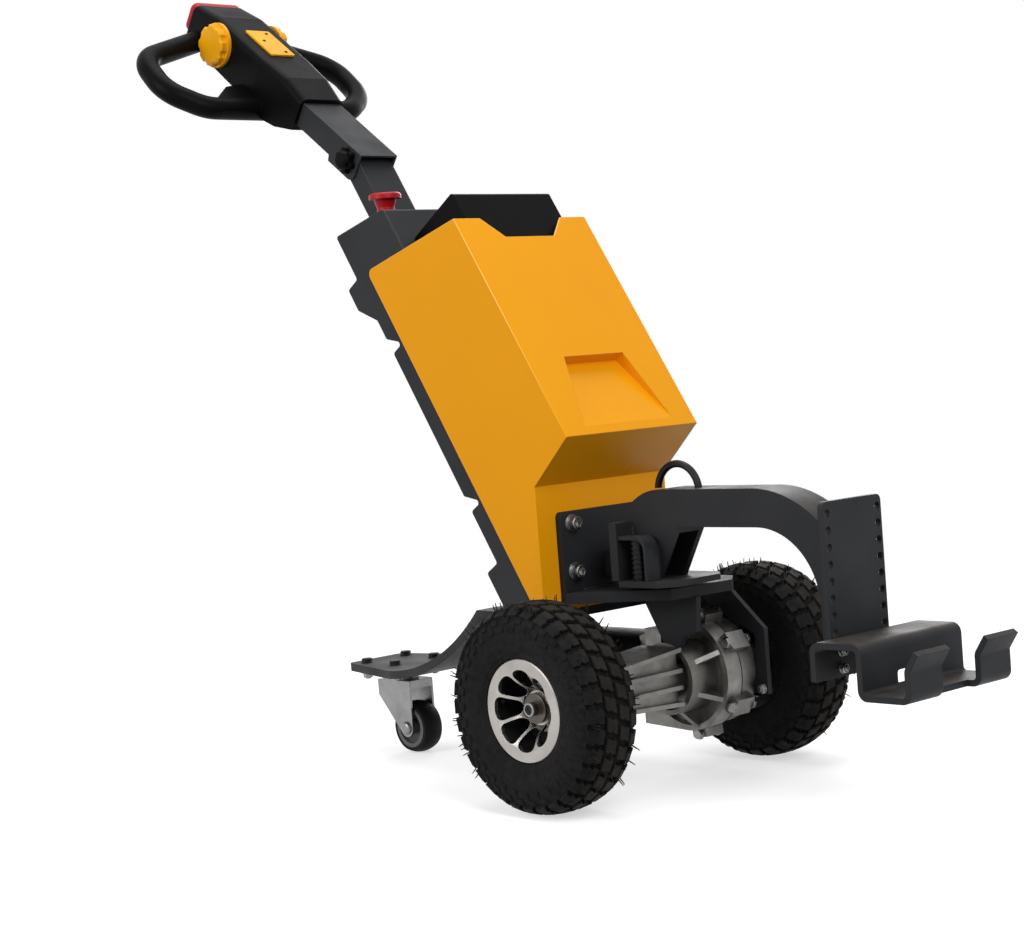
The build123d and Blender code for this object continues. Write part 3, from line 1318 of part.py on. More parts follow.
# Tiller head with its two closed grip loops
loop_plane = Plane(
    origin=tiller_plane(0).from_local_coords(Vector(LOOP_ALONG, LOOP_DROP, 0)),
    x_dir=(-cos(radians(LOOP_TILT)), 0, sin(radians(LOOP_TILT))),
    z_dir=(sin(radians(LOOP_TILT)), 0, cos(radians(LOOP_TILT))),
)
head_top = Plane(
    origin=tiller_plane(0).from_local_coords(Vector(0, 0, 0)),
    x_dir=ARM_DIR,
    z_dir=(sin(radians(ARM_RISE)), 0, cos(radians(ARM_RISE))),
)
with BuildPart() as tiller_head:
    with BuildSketch(tiller_plane(-HEAD_W / 2)):
        with BuildLine():
            Polyline(
                (ARM_LEN, HEAD_NOSE_TOP),
                (HEAD_FLARE, HEAD_TOP),
                (HEAD_SHOULDER, HEAD_TOP),
                (HEAD_END, BELLY_TOP + SEAT_GAP),
                (HEAD_END, BELLY_LOW),
                *HEAD_BELLY,
                close=True,
            )
        make_face()
    extrude(amount=HEAD_W)
    with BuildSketch(head_top):
        with BuildLine():
            Polyline(
                (ARM_LEN, HEAD_NOSE_W / 2),
                (HEAD_TAPER, HEAD_W / 2),
                (HEAD_END, HEAD_W / 2),
                (HEAD_END, -HEAD_W / 2),
                (HEAD_TAPER, -HEAD_W / 2),
                (ARM_LEN, -HEAD_NOSE_W / 2),
                close=True,
            )
        make_face()
    extrude(amount=HEAD_W, both=True, mode=Mode.INTERSECT)
    top_edges = tiller_head.edges().filter_by(Axis.Y, reverse=True).filter_by(
        lambda edge: head_top.to_local_coords(edge.center()).Z > BELLY_TOP - HEAD_EDGE_R / 2
    )
    fillet(top_edges, HEAD_EDGE_R)
    for side in SIDES.values():
        with BuildLine() as loop_path:
            corners = [
                loop_plane.from_local_coords(Vector(along, -side * out, 0))
                for along, out in LOOP_CORNERS
            ]
            FilletPolyline(*corners, radius=LOOP_BEND_R)
        with BuildSketch(Plane(origin=loop_path.line @ 0, z_dir=loop_path.line % 0)):
            Circle(LOOP_R)
        sweep(path=loop_path.line)
        with BuildSketch(loop_plane):
            with BuildLine():
                Polyline(*[(along, -side * out) for along, out in WEB_CORNERS], close=True)
            make_face()
        extrude(amount=WEB_T / 2, both=True)
finish(tiller_head, "tiller_head")

with BuildPart() as belly_button:
    with BuildSketch(tiller_plane(-BELLY_W / 2)):
        with Locations((HEAD_END + BELLY_LEN / 2, (BELLY_TOP + BELLY_LOW) / 2)):
            Rectangle(BELLY_LEN, BELLY_TOP - BELLY_LOW)
    extrude(amount=BELLY_W)
    fillet(belly_button.edges().filter_by(Axis(head_top.origin, ARM_DIR)), BELLY_CORNER_R)
    end_face = belly_button.faces().sort_by(Axis(head_top.origin, ARM_DIR))[-1]
    fillet(end_face.edges(), BELLY_EDGE_R)
finish(belly_button, "belly_button")

for side_name, side in SIDES.items():
    with BuildPart() as thumb_wheel:
        with BuildSketch(tiller_plane(side * HEAD_W / 2)):
            with Locations((THUMB_ALONG, THUMB_ABOVE)):
                Circle(THUMB_KNOB_R)
                with PolarLocations(THUMB_FLUTE_OUT, THUMB_FLUTES):
                    Circle(THUMB_FLUTE_R, mode=Mode.SUBTRACT)
        extrude(amount=side * THUMB_T)
        outer_face = thumb_wheel.faces().sort_by(Axis((0, 0, 0), (0, side, 0)))[-1]
        chamfer(outer_face.edges(), THUMB_EDGE)
        with BuildSketch(tiller_plane(side * HEAD_W / 2)):
            with Locations((THUMB_ALONG, THUMB_ABOVE)):
                Circle(THUMB_R)
        extrude(amount=side * THUMB_BASE_T)
    finish(thumb_wheel, f"thumb_wheel_{side_name}")

with BuildPart() as switch_plate:
    top_face = Plane(
        origin=tiller_plane(0).from_local_coords(Vector(SWITCH_ALONG, HEAD_TOP, 0)),
        x_dir=ARM_DIR,
        z_dir=(sin(radians(ARM_RISE)), 0, cos(radians(ARM_RISE))),
    )
    with BuildSketch(top_face):
        RectangleRounded(SWITCH_LEN, SWITCH_W, SWITCH_T)
    extrude(amount=SWITCH_T)
finish(switch_plate, "switch_plate")
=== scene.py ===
"""Looks for the walk-behind tow tractor: materials, fasteners, tread, lights and camera."""
import json
import math
import random

import bmesh
import bpy
from mathutils import Matrix, Vector


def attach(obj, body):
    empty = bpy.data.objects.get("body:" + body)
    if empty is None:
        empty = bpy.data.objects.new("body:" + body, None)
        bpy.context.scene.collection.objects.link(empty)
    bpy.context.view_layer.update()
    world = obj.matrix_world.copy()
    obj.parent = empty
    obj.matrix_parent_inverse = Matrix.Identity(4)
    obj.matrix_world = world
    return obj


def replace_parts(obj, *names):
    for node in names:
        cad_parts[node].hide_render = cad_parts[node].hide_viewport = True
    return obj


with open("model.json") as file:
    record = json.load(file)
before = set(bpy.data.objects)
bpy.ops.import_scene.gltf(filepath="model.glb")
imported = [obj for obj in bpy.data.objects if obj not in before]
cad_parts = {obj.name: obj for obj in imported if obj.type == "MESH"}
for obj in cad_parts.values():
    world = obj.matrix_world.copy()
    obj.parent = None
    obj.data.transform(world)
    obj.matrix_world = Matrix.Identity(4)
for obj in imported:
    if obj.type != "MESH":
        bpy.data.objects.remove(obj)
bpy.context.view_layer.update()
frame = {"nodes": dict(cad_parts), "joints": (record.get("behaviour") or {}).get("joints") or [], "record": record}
nodes = frame["nodes"]
joints = {joint["name"]: joint for joint in frame["joints"]}
random.seed(11)

WHEEL_CENTRE = Vector(joints["wheel_right_spin"]["pos_m"])
TILLER_PIVOT = Vector(joints["tiller_fold"]["pos_m"])
WHEEL_MID = 0.2141      # tyre's middle plane from the centre line
HUB_REACH = 0.0225      # the hubs' radius, and where they begin and end from the centre line
HUB_INNER, HUB_OUTER = 0.15, 0.2369
BARREL_R = 0.0530       # a rim has painted shade, black, in its barrel, beyond this radius, up to BARREL_DEPTH
BARREL_DEPTH, BEHIND_DEPTH = 0.0305, 0.0015     # out from the middle plane; painted shade, black, behind BEHIND_DEPTH
EDGE_HIGHLIGHT_WIDTH = 0.0017      # width of the painted highlight line along an edge

# Camera fitted to the photograph: 1024 x 933 pixels, focal length in pixels
IMAGE_W = 1024
FOCAL_PX = 2137.0
SENSOR_MM = 36.0
CAMERA_FROM_AXLE = Vector((2.0290, -2.076, 0.583))
YAW, PITCH, ROLL = (math.radians(a) for a in (42.2, 2.69, -4.42))


# Materials
class Shader:
    """A node material with one Principled shader and short helpers to feed it."""

    def __init__(self, name, colour, rough, metal=0.0, **sockets):
        self.material = bpy.data.materials.new(name)
        self.material.use_nodes = True
        self.tree = self.material.node_tree
        self.bsdf = self.tree.nodes["Principled BSDF"]
        self.bsdf.inputs["Base Color"].default_value = (*colour, 1)
        self.bsdf.inputs["Roughness"].default_value = rough
        self.bsdf.inputs["Metallic"].default_value = metal
        for socket, value in sockets.items():
            self.bsdf.inputs[socket.replace("_", " ")].default_value = value
        self.position = self.add("ShaderNodeTexCoord").outputs["Object"]

    def add(self, kind, **settings):
        node = self.tree.nodes.new(kind)
        for key, value in settings.items():
            setattr(node, key, value)
        return node

    def link(self, source, target):
        self.tree.links.new(source, target)

    def noise(self, scale, detail=3.0, rough=0.5):
        node = self.add("ShaderNodeTexNoise")
        node.inputs["Scale"].default_value = scale
        node.inputs["Detail"].default_value = detail
        node.inputs["Roughness"].default_value = rough
        self.link(self.position, node.inputs["Vector"])
        return node.outputs["Fac"]

    def spread(self, value, low, high, to_low, to_high):
        node = self.add("ShaderNodeMapRange")
        for socket, number in zip(
            ("From Min", "From Max", "To Min", "To Max"), (low, high, to_low, to_high)
        ):
            node.inputs[socket].default_value = number
        self.link(value, node.inputs["Value"])
        return node.outputs["Result"]

    def math(self, operation, first, second=None):
        node = self.add("ShaderNodeMath", operation=operation)
        for socket, value in zip(node.inputs, (first, second)):
            if isinstance(value, (int, float)):
                socket.default_value = value
            elif value is not None:
                self.link(value, socket)
        return node.outputs["Value"]

    def parts(self, vector):
        node = self.add("ShaderNodeSeparateXYZ")
        self.link(vector, node.inputs["Vector"])
        return node.outputs

    def from_axle(self):
        """(distance from the wheel axle, distance from the centre line)."""
        place = self.parts(self.position)
        away_x = self.math("SUBTRACT", place["X"], WHEEL_CENTRE.x)
        away_z = self.math("SUBTRACT", place["Z"], WHEEL_CENTRE.z)
        square_x = self.math("MULTIPLY", away_x, away_x)
        square = self.math("ADD", square_x, self.math("MULTIPLY", away_z, away_z))
        return self.math("SQRT", square), self.math("ABSOLUTE", place["Y"])

    def mix(self, factor, first, second):
        node = self.add("ShaderNodeMix", data_type="RGBA")
        self.link(factor, node.inputs["Factor"])
        for socket, value in ((node.inputs[6], first), (node.inputs[7], second)):
            if isinstance(value, tuple):
                socket.default_value = (*value, 1)
            else:
                self.link(value, socket)
        return node.outputs[2]

    def paint_edge_highlight(self, tone, light, share, folded):
        """A painted highlight: a thin paler line painted along the edges of the upper body, and round the cover's
        folds.
        """
        bevel = self.add("ShaderNodeBevel", samples=4)
        bevel.inputs["Radius"].default_value = EDGE_HIGHLIGHT_WIDTH
        bend = self.add("ShaderNodeVectorMath", operation="DOT_PRODUCT")
        self.link(bevel.outputs["Normal"], bend.inputs[0])
        facing = self.add("ShaderNodeNewGeometry").outputs["Normal"]
        self.link(facing, bend.inputs[1])
        line = self.spread(bend.outputs["Value"], 0.80, 0.97, 1, 0)
        if folded:
            aside = self.math("ABSOLUTE", self.parts(facing)["Y"])
            turning = self.spread(aside, 0.1, 0.35, 0, 1)
            fold = self.math("MULTIPLY", turning, self.spread(aside, 0.75, 0.97, 1, 0))
            line = self.math("MAXIMUM", line, fold)
        # the painted highlight is kept to the upper body
        upper = self.spread(self.parts(self.position)["Z"], 0.52, 0.68, 0, share)
        return self.mix(self.math("MULTIPLY", line, upper), tone, light)

    def colour(self, value):
        self.link(value, self.bsdf.inputs["Base Color"])

    def rough(self, value):
        self.link(value, self.bsdf.inputs["Roughness"])

    def bump(self, height, distance, strength=1.0, edge=0.0):
        node = self.add("ShaderNodeBump")
        node.inputs["Distance"].default_value = distance
        node.inputs["Strength"].default_value = strength
        self.link(height, node.inputs["Height"])
        if edge:
            bevel = self.add("ShaderNodeBevel", samples=4)
            bevel.inputs["Radius"].default_value = edge
            self.link(bevel.outputs["Normal"], node.inputs["Normal"])
        self.link(node.outputs["Normal"], self.bsdf.inputs["Normal"])


def shade(colour, factor):
    return tuple(channel * factor for channel in colour)


def paint(
    name, colour, rough, grain, depth, vary, dusty=0.0, light=None, folded=False, edge=0.0012, **sockets
):
    """Powder coat: orange peel, faint cloudiness, patchy gloss, dust on the hitch, painted highlights along the
    upper edges and folds.
    """
    shader = Shader(name, colour, rough, **sockets)
    cloud = shader.spread(shader.noise(6.0, 4.0), 0.3, 0.7, 0, 1)
    tone = shader.mix(cloud, shade(colour, 1 - vary), shade(colour, 1 + vary))
    if dusty:
        level = shader.parts(shader.add("ShaderNodeNewGeometry").outputs["Normal"])["Z"]
        place = shader.parts(shader.position)
        below = shader.spread(place["Z"], 0.39, 0.45, 1, 0)
        low = shader.math("MULTIPLY", below, shader.spread(place["X"], 0.12, 0.45, 0.1, 1))
        specks = shader.spread(shader.noise(38.0, 7.0, 0.7), 0.42, 0.72, 0.1, 1)
        flat = shader.spread(level, 0.5, 0.95, 0, dusty)
        cover = shader.math("MULTIPLY", flat, shader.math("MULTIPLY", low, specks))
        tone = shader.mix(cover, tone, DUST)
    # painted highlight: paler colour along the upper edges and the cover's folds
    if light:
        tone = shader.paint_edge_highlight(tone, light, 0.6, folded)
    shader.colour(tone)
    shader.rough(shader.spread(shader.noise(14.0, 5.0), 0.3, 0.7, rough * 0.85, rough * 1.2))
    shader.bump(shader.noise(grain, 2.0), depth, 0.6, edge)
    return shader.material


def plastic(name, colour, rough, grain, depth, edge=0.0012, **sockets):
    """Moulded plastic with a fine eroded grain."""
    shader = Shader(name, colour, rough, **sockets)
    cloud = shader.spread(shader.noise(9.0, 4.0), 0.3, 0.7, 0, 1)
    shader.colour(shader.mix(cloud, shade(colour, 0.85), shade(colour, 1.18)))
    shader.rough(shader.spread(shader.noise(30.0, 4.0), 0.3, 0.7, rough * 0.85, rough * 1.15))
    shader.bump(shader.noise(grain, 2.0), depth, 0.5, edge)
    return shader.material


def metal(name, colour, rough, grain, depth, dirt, edge=0.0008, hub=None):
    """Bare or plated metal: mottled, grime in broad patches; the wheel hubs in their own colour."""
    shader = Shader(name, colour, rough, 1.0)
    patches = shader.spread(shader.noise(22.0, 6.0, 0.65), 0.35, 0.7, 0, 1)
    tone = shader.mix(patches, colour, shade(colour, dirt))
    if hub:
        radius, across = shader.from_axle()
        inside = shader.math("LESS_THAN", radius, HUB_REACH)
        inside = shader.math("MULTIPLY", inside, shader.math("GREATER_THAN", across, HUB_INNER))
        inside = shader.math("MULTIPLY", inside, shader.math("LESS_THAN", across, HUB_OUTER))
        tone = shader.mix(inside, tone, shader.mix(patches, hub, shade(hub, 0.6)))
    shader.colour(tone)
    shader.rough(shader.spread(shader.noise(60.0, 5.0), 0.3, 0.7, rough * 0.8, rough * 1.3))
    shader.bump(shader.noise(grain, 3.0), depth, 0.6, edge)
    return shader.material


def rim_metal(name, colour, rough, pitch):
    """Machined alloy with fine rings; painted shade, black and not metallic, inside the barrel and behind the
    spokes.
    """
    shader = Shader(name, colour, rough, 1.0)
    radius, across = shader.from_axle()
    # painted shade: the barrel's inside and the rim's back are turned black and not metallic
    behind = shader.math("LESS_THAN", across, WHEEL_MID + BEHIND_DEPTH)
    sunk = shader.math("LESS_THAN", across, WHEEL_MID + BARREL_DEPTH)
    barrel = shader.math("MULTIPLY", shader.math("GREATER_THAN", radius, BARREL_R), sunk)
    black = shader.math("MAXIMUM", behind, barrel)
    patches = shader.spread(shader.noise(35.0, 5.0), 0.3, 0.7, 0, 1)
    bright = shader.mix(patches, colour, shade(colour, 0.82))
    shader.colour(shader.mix(black, bright, RIM_PAINTED_SHADE))
    shader.rough(shader.spread(shader.noise(80.0, 4.0), 0.3, 0.7, rough * 0.8, rough * 1.3))
    shader.link(shader.spread(black, 0, 1, 1, 0), shader.bsdf.inputs["Metallic"])
    shader.link(shader.spread(black, 0, 1, 0.5, 0.15), shader.bsdf.inputs["Specular IOR Level"])
    rings = shader.math("SINE", shader.math("MULTIPLY", radius, math.tau / pitch))
    shader.bump(rings, 0.00005, 0.5, 0.0008)
    return shader.material


def rubber(name, colour, rough, tread_from=None):
    """Moulded rubber; brown dust on the tread of the big tyres."""
    shader = Shader(name, colour, rough, Specular_IOR_Level=0.11)
    dust = shader.spread(shader.noise(26.0, 6.0, 0.6), 0.40, 0.75, 0, 1)
    tone = shader.mix(dust, colour, shade(colour, 1.7))
    if tread_from:
        radius, _ = shader.from_axle()
        tread = shader.spread(radius, tread_from, tread_from + TREAD_BLEND, 0, 1)
        worn = shader.math("MULTIPLY", tread, shader.spread(dust, 0, 1, 0.45, 1))
        tone = shader.mix(worn, tone, TREAD_DUST)
    shader.colour(tone)
    shader.rough(shader.spread(shader.noise(120.0, 3.0), 0.3, 0.7, rough * 0.85, min(1.0, rough * 1.15)))
    shader.bump(shader.noise(900.0, 2.0), 0.0003, 0.5)
    return shader.material


AMBER = (0.90, 0.365, 0.003)
CHARCOAL = (0.0148, 0.0157, 0.018)
DUST = (0.058, 0.044, 0.031)
TREAD_DUST = (0.030, 0.025, 0.021)
TREAD_BLEND = 0.006
HUB_GREY = (0.120, 0.106, 0.094)
RIM_PAINTED_SHADE = (0.012, 0.012, 0.012)
# colours of the painted edge and fold highlights
AMBER_EDGE_HIGHLIGHT = (1.0, 0.74, 0.34)
GREY_EDGE_HIGHLIGHT = (0.16, 0.165, 0.17)
TREAD_FROM = 0.1335     # radius where the tread begins
MATT = {"Specular_IOR_Level": 0.2}
looks = {
    "cover_paint": paint(
        "amber_paint", AMBER, 0.32, 700.0, 0.00006, 0.02, light=AMBER_EDGE_HIGHLIGHT, folded=True, Specular_IOR_Level=0.14
    ),
    "frame_paint": paint("charcoal_paint", CHARCOAL, 0.54, 900.0, 0.00012, 0.12, 0.85, GREY_EDGE_HIGHLIGHT, **MATT),
    "black_plastic": plastic(
        "black_plastic", (0.0022, 0.0022, 0.0025), 0.42, 1400.0, 0.0001, Specular_IOR_Level=0.05
    ),
    "red_plastic": plastic("red_plastic", (0.40, 0.004, 0.010), 0.36, 1200.0, 0.00008, **MATT),
    "yellow_plastic": plastic("yellow_plastic", (0.88, 0.39, 0.004), 0.36, 1200.0, 0.00008, **MATT),
    "cast_aluminium": metal("cast_aluminium", (0.235, 0.228, 0.216), 0.42, 700.0, 0.0003, 0.55),
    "rim_alloy": rim_metal("rim_alloy", (0.40, 0.378, 0.355), 0.26, 0.0011),
    "tyre_rubber": rubber("tyre_rubber", (0.0055, 0.0054, 0.0053), 0.74, TREAD_FROM),
    "motor_black": paint("motor_black", (0.006, 0.006, 0.007), 0.55, 800.0, 0.0001, 0.1, **MATT),
    "zinc_steel": metal("zinc_steel", (0.275, 0.278, 0.274), 0.30, 500.0, 0.00008, 0.70, hub=HUB_GREY),
    "black_steel": paint("black_steel", (0.006, 0.006, 0.0065), 0.40, 700.0, 0.0001, 0.15, **MATT),
    "caster_rubber": rubber("caster_rubber", (0.006, 0.006, 0.006), 0.6),
    "caster_hub": plastic("caster_hub", (0.09, 0.093, 0.096), 0.45, 900.0, 0.0001),
}
for part in frame["record"]["subparts"]:
    mesh = nodes[part["node"]].data
    mesh.materials.clear()
    mesh.materials.append(looks[part["material_slot"]])


# Added pieces: sizes in millimetres, X from the drive axle
def at(x, y, z):
    return Vector((WHEEL_CENTRE.x + x / 1000, y / 1000, z / 1000))


def add_piece(name, bm, body, slot, sharp=34.0):
    mesh = bpy.data.meshes.new(name)
    bmesh.ops.recalc_face_normals(bm, faces=bm.faces)
    bm.to_mesh(mesh)
    bm.free()
    mesh.shade_smooth()
    mesh.set_sharp_from_angle(angle=math.radians(sharp))
    mesh.materials.append(looks[slot])
    thing = bpy.data.objects.new(name, mesh)
    bpy.context.scene.collection.objects.link(thing)
    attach(thing, body)
    return thing


def join_rings(bm, rings, around=True):
    """Quads between rows of points; each row is a closed ring unless around is False."""
    for low, high in zip(rings, rings[1:]):
        count = len(low)
        for i in range(count if around else count - 1):
            j = (i + 1) % count
            bm.faces.new((low[i], low[j], high[j], high[i]))


HEX_FLAT = math.cos(math.pi / 6)


def spun(bm, base, axis, size, profile, segments=24):
    """Rings of (height, radius, shape) up an axis, in sizes, capped at both ends."""
    turn = Vector(axis).to_track_quat("Z", "Y").to_matrix()
    rings = []
    for height, radius, shape in profile:
        ring = []
        for i in range(segments):
            angle = math.tau * i / segments
            reach = radius
            if shape == "hex":
                reach *= HEX_FLAT / math.cos(angle % (math.pi / 3) - math.pi / 6)
            spot = Vector((reach * math.cos(angle), reach * math.sin(angle), height)) * size / 1000
            ring.append(bm.verts.new(base + turn @ spot))
        rings.append(ring)
    join_rings(bm, rings)
    bm.faces.new(rings[0])
    bm.faces.new(rings[-1])


# Fastener forms: (height, radius, shape) in thread diameters
FORMS = {
    "socket": (
        (0, 1.0, "round"), (0.14, 1.0, "round"), (0.17, 0.97, "round"), (0.17, 0.76, "round"),
        (1.06, 0.76, "round"), (1.15, 0.68, "round"), (1.15, 0.50, "hex"), (0.55, 0.48, "hex"),
    ),
    "hex": (
        (0, 1.0, "round"), (0.14, 1.0, "round"), (0.16, 0.97, "round"), (0.16, 0.94, "hex"),
        (0.66, 0.94, "hex"), (0.76, 0.80, "round"),
    ),
    "nut": (
        (0, 1.0, "round"), (0.14, 1.0, "round"), (0.16, 0.97, "round"), (0.16, 0.94, "hex"),
        (0.80, 0.94, "hex"), (0.90, 0.80, "round"), (0.90, 0.50, "round"), (1.08, 0.50, "round"),
        (1.15, 0.42, "round"),
    ),
    "ring": (
        (0, 1.06, "round"), (0.32, 1.06, "round"), (0.40, 0.98, "round"), (0.40, 0.74, "round"),
        (0.12, 0.70, "round"),
    ),
    "plug": ((0, 0.70, "round"), (0.16, 0.70, "round"), (0.16, 0.42, "hex"), (0.05, 0.40, "hex")),
    "button": (
        (0, 0.90, "round"), (0.10, 0.92, "round"), (0.28, 0.86, "round"), (0.42, 0.72, "round"),
        (0.48, 0.52, "round"), (0.48, 0.34, "hex"), (0.24, 0.32, "hex"),
    ),
}
LEAN = math.radians(32.1)
KNEE = (-9.0, 484.0)


def leaning(out, y, rise):
    """A place on the leaning body: out from the front sheet, rise from the knee."""
    x = KNEE[0] + out * math.cos(LEAN) - rise * math.sin(LEAN)
    return (x, y, KNEE[1] + out * math.sin(LEAN) + rise * math.cos(LEAN))


CASTER_X, CASTER_AXLE_X = -552.0, -521.0
DECK_BOLTS = [(CASTER_X + x, y) for x in (-34.5, 34.5) for y in (-39, 39)]
AXLE_Z = 139.5
LUG_R = 84.5
LUG_TURNS = [math.radians(a) for a in (75, 33, -30, -85, 125)]
LUGS = [(LUG_R * math.cos(turn), AXLE_Z + LUG_R * math.sin(turn)) for turn in LUG_TURNS]
TOP_HOLE, HOLE_PITCH = 373.6, 21.0
HOLES = [(y, TOP_HOLE - HOLE_PITCH * row) for row in (8, 9) for y in (-49, 49)]
PLATE_BOLTS = [(-69, y, z) for y in (-73, 73) for z in (298, 364)]
TRAY_SCREWS = [leaning(-205, y, rise) for y in (-104, 104) for rise in (60, 180, 300, 400)]
BACK = (-math.cos(LEAN), 0, -math.sin(LEAN))
# (name, form, thread diameter, axis, body, slot, places)
FASTENERS = [
    ("plate_bolts", "socket", 12, (1, 0, 0), "chassis", "zinc_steel", PLATE_BOLTS),
    ("deck_bolts", "hex", 9, (0, 0, 1), "chassis", "black_steel", [(x, y, 141) for x, y in DECK_BOLTS]),
    ("deck_nuts", "nut", 8, (0, 0, -1), "chassis", "zinc_steel", [(x, y, 125) for x, y in DECK_BOLTS]),
    ("gear_bolts", "hex", 8, (0, -1, 0), "chassis", "zinc_steel", [(x, 69, z) for x, z in LUGS]),
    ("gear_nuts", "nut", 8, (0, 1, 0), "chassis", "zinc_steel", [(x, 103, z) for x, z in LUGS]),
    ("hanger_nut", "nut", 7, (0, -1, 0), "chassis", "zinc_steel", [(85, 119, 115)]),
    ("cradle_nuts", "nut", 7, (1, 0, 0), "chassis", "zinc_steel", [(365, y, z) for y, z in HOLES]),
    ("cradle_bolts", "hex", 8, (-1, 0, 0), "chassis", "zinc_steel", [(349, y, z) for y, z in HOLES]),
    ("caster_axle_head", "button", 11, (0, -1, 0), "caster", "zinc_steel", [(CASTER_AXLE_X, -23.5, 40)]),
    ("caster_axle_nut", "nut", 8, (0, 1, 0), "caster", "zinc_steel", [(CASTER_AXLE_X, 23.5, 40)]),
    ("hub_ring_right", "ring", 9, (0, -1, 0), "wheel_right", "zinc_steel", [(0, -237.1, AXLE_Z)]),
    ("hub_ring_left", "ring", 9, (0, 1, 0), "wheel_left", "zinc_steel", [(0, 237.1, AXLE_Z)]),
    ("hub_plug_right", "plug", 9, (0, -1, 0), "wheel_right", "black_steel", [(0, -238.2, AXLE_Z)]),
    ("hub_plug_left", "plug", 9, (0, 1, 0), "wheel_left", "black_steel", [(0, 238.2, AXLE_Z)]),
    ("tray_screws", "button", 6, BACK, "chassis", "black_steel", TRAY_SCREWS),
]
for name, form, size, axis, body, slot, places in FASTENERS:
    bm = bmesh.new()
    for place in places:
        spun(bm, at(*place), axis, size, FORMS[form])
    add_piece(name, bm, body, slot)

# Wheels: a black disc behind the spokes, a dark sheet standing for the painted shade seen through the windows, and
# a valve; side -1 is the right one
SHADE_DISC = ((-13, 23), (-11, 23), (-10, 53.4), (-13, 53.4))   # (out from the middle plane, radius)
SHADE_DISC_SEGMENTS = 64
VALVE = (
    (0, 4.2, "round"), (9, 3.6, "round"), (9, 2.6, "round"), (15, 2.6, "round"), (15, 3.0, "round"),
    (23, 3.0, "round"), (24, 2.2, "round"),
)
VALVE_ANGLE = math.radians(168)
VALVE_ROOT, VALVE_TIP = (51.0, 9.0), (46.0, 24.0)   # (radius, out from the middle plane)


def wheel_spot(side, radius, angle, out):
    return at(radius * math.cos(angle), side * (WHEEL_MID * 1000 + out), AXLE_Z + radius * math.sin(angle))


def turned(bm, side, section, segments, closed=True):
    """A section of (out, radius) turned about the wheel's axle."""
    rings = []
    for i in range(segments + 1):
        if i == segments:
            rings.append(rings[0])
            break
        angle = math.tau * i / segments
        rings.append([bm.verts.new(wheel_spot(side, radius, angle, out)) for out, radius in section])
    join_rings(bm, rings, closed)


# Rim in place of the CAD one: rounder windows, thin spokes and a curved dish
WINDOWS = 8
WINDOW_FROM, WINDOW_TO = 24.5, 53.6
SPOKE_HALF = 2.1
SPOKE_STEPS = 28
SPOKE_ACROSS = 16
SPOKE_T = 6
OUTER_ROUND, INNER_ROUND = 11, 7
FACE_OUT, FACE_DEPTH = 37, 29
BOSS_R, DISH_W = 23, 31
DISH_CURVE = 1.7
SAME_POINT = 1e-6


def rim_face(radius):
    """How far the front of the dish stands out from the middle plane."""
    return FACE_OUT - FACE_DEPTH * (1 - (radius - BOSS_R) / DISH_W) ** DISH_CURVE


def window_half(radius):
    """Half width of a window: rounded at the inner end, squarer at the outer end."""
    outer = min(max((radius - WINDOW_TO + OUTER_ROUND) / OUTER_ROUND, 0), 1)
    inner = min(max((WINDOW_FROM + INNER_ROUND - radius) / INNER_ROUND, 0), 1)
    full = math.pi / WINDOWS * radius - SPOKE_HALF
    return full * (1 - outer ** 2.5) ** 0.4 * (1 - inner ** 2) ** 0.5


# Sections as (out from the middle plane, radius)
BOSS = (
    (rim_face(WINDOW_FROM), WINDOW_FROM), (8, BOSS_R), (8, 20), (2, 20), (2, BOSS_R),
    (rim_face(WINDOW_FROM) - SPOKE_T, WINDOW_FROM),
)
LIP = (
    (rim_face(WINDOW_TO), WINDOW_TO), (FACE_OUT, 54.6), (FACE_OUT, 66.6), (35.8, 68), (33, 68), (33, 57.7),
    (-33, 57.7), (-33, 68), (-FACE_OUT, 68), (-FACE_OUT, 54), (31, 54),
    (rim_face(WINDOW_TO) - SPOKE_T, WINDOW_TO),
)


def spoked_rim(bm, side):
    turned(bm, side, BOSS, WINDOWS * SPOKE_ACROSS, False)
    turned(bm, side, LIP, WINDOWS * SPOKE_ACROSS, False)
    for spoke in range(WINDOWS):
        rings = []
        for i in range(SPOKE_STEPS + 1):
            share = (1 - math.cos(math.pi * i / SPOKE_STEPS)) / 2
            radius = WINDOW_FROM + (WINDOW_TO - WINDOW_FROM) * share
            half = math.pi / WINDOWS - window_half(radius) / radius
            middle = math.tau * (spoke + 0.5) / WINDOWS
            turns = [middle + half * (2 * j / SPOKE_ACROSS - 1) for j in range(SPOKE_ACROSS + 1)]
            face = rim_face(radius)
            front = [bm.verts.new(wheel_spot(side, radius, turn, face)) for turn in turns]
            back = [bm.verts.new(wheel_spot(side, radius, turn, face - SPOKE_T)) for turn in reversed(turns)]
            rings.append(front + back)
        join_rings(bm, rings)
    bmesh.ops.remove_doubles(bm, verts=bm.verts, dist=SAME_POINT)


# Tyre section from crown to bead: (out from the middle plane, radius)
CROWN_TO_BEAD = (
    (0, 133.2), (18, 131.8), (31, 128.6), (38.8, 122.8), (42.6, 114.5), (44.0, 104), (43.6, 93),
    (41.6, 82), (40.6, 78.6), (40.2, 76.0), (38.4, 73.2), (36.6, 69.2), (32.4, 67.4), (31.0, 58.3),
)
BETWEEN = 6


def smooth_line(points):
    """Catmull-Rom curve through the points."""
    ends = [points[0], *points, points[-1]]
    line = []
    for before, start, end, after in zip(ends, ends[1:], ends[2:], ends[3:]):
        for step in range(BETWEEN):
            t = step / BETWEEN
            line.append(tuple(
                0.5 * (2 * b + (c - a) * t + (2 * a - 5 * b + 4 * c - d) * t * t
                       + (3 * b - a - 3 * c + d) * t ** 3)
                for a, b, c, d in zip(before, start, end, after)
            ))
    return line + [points[-1]]


SECTION = smooth_line(CROWN_TO_BEAD)
LENGTHS = [0.0]
for first, second in zip(SECTION, SECTION[1:]):
    LENGTHS.append(LENGTHS[-1] + math.dist(first, second))


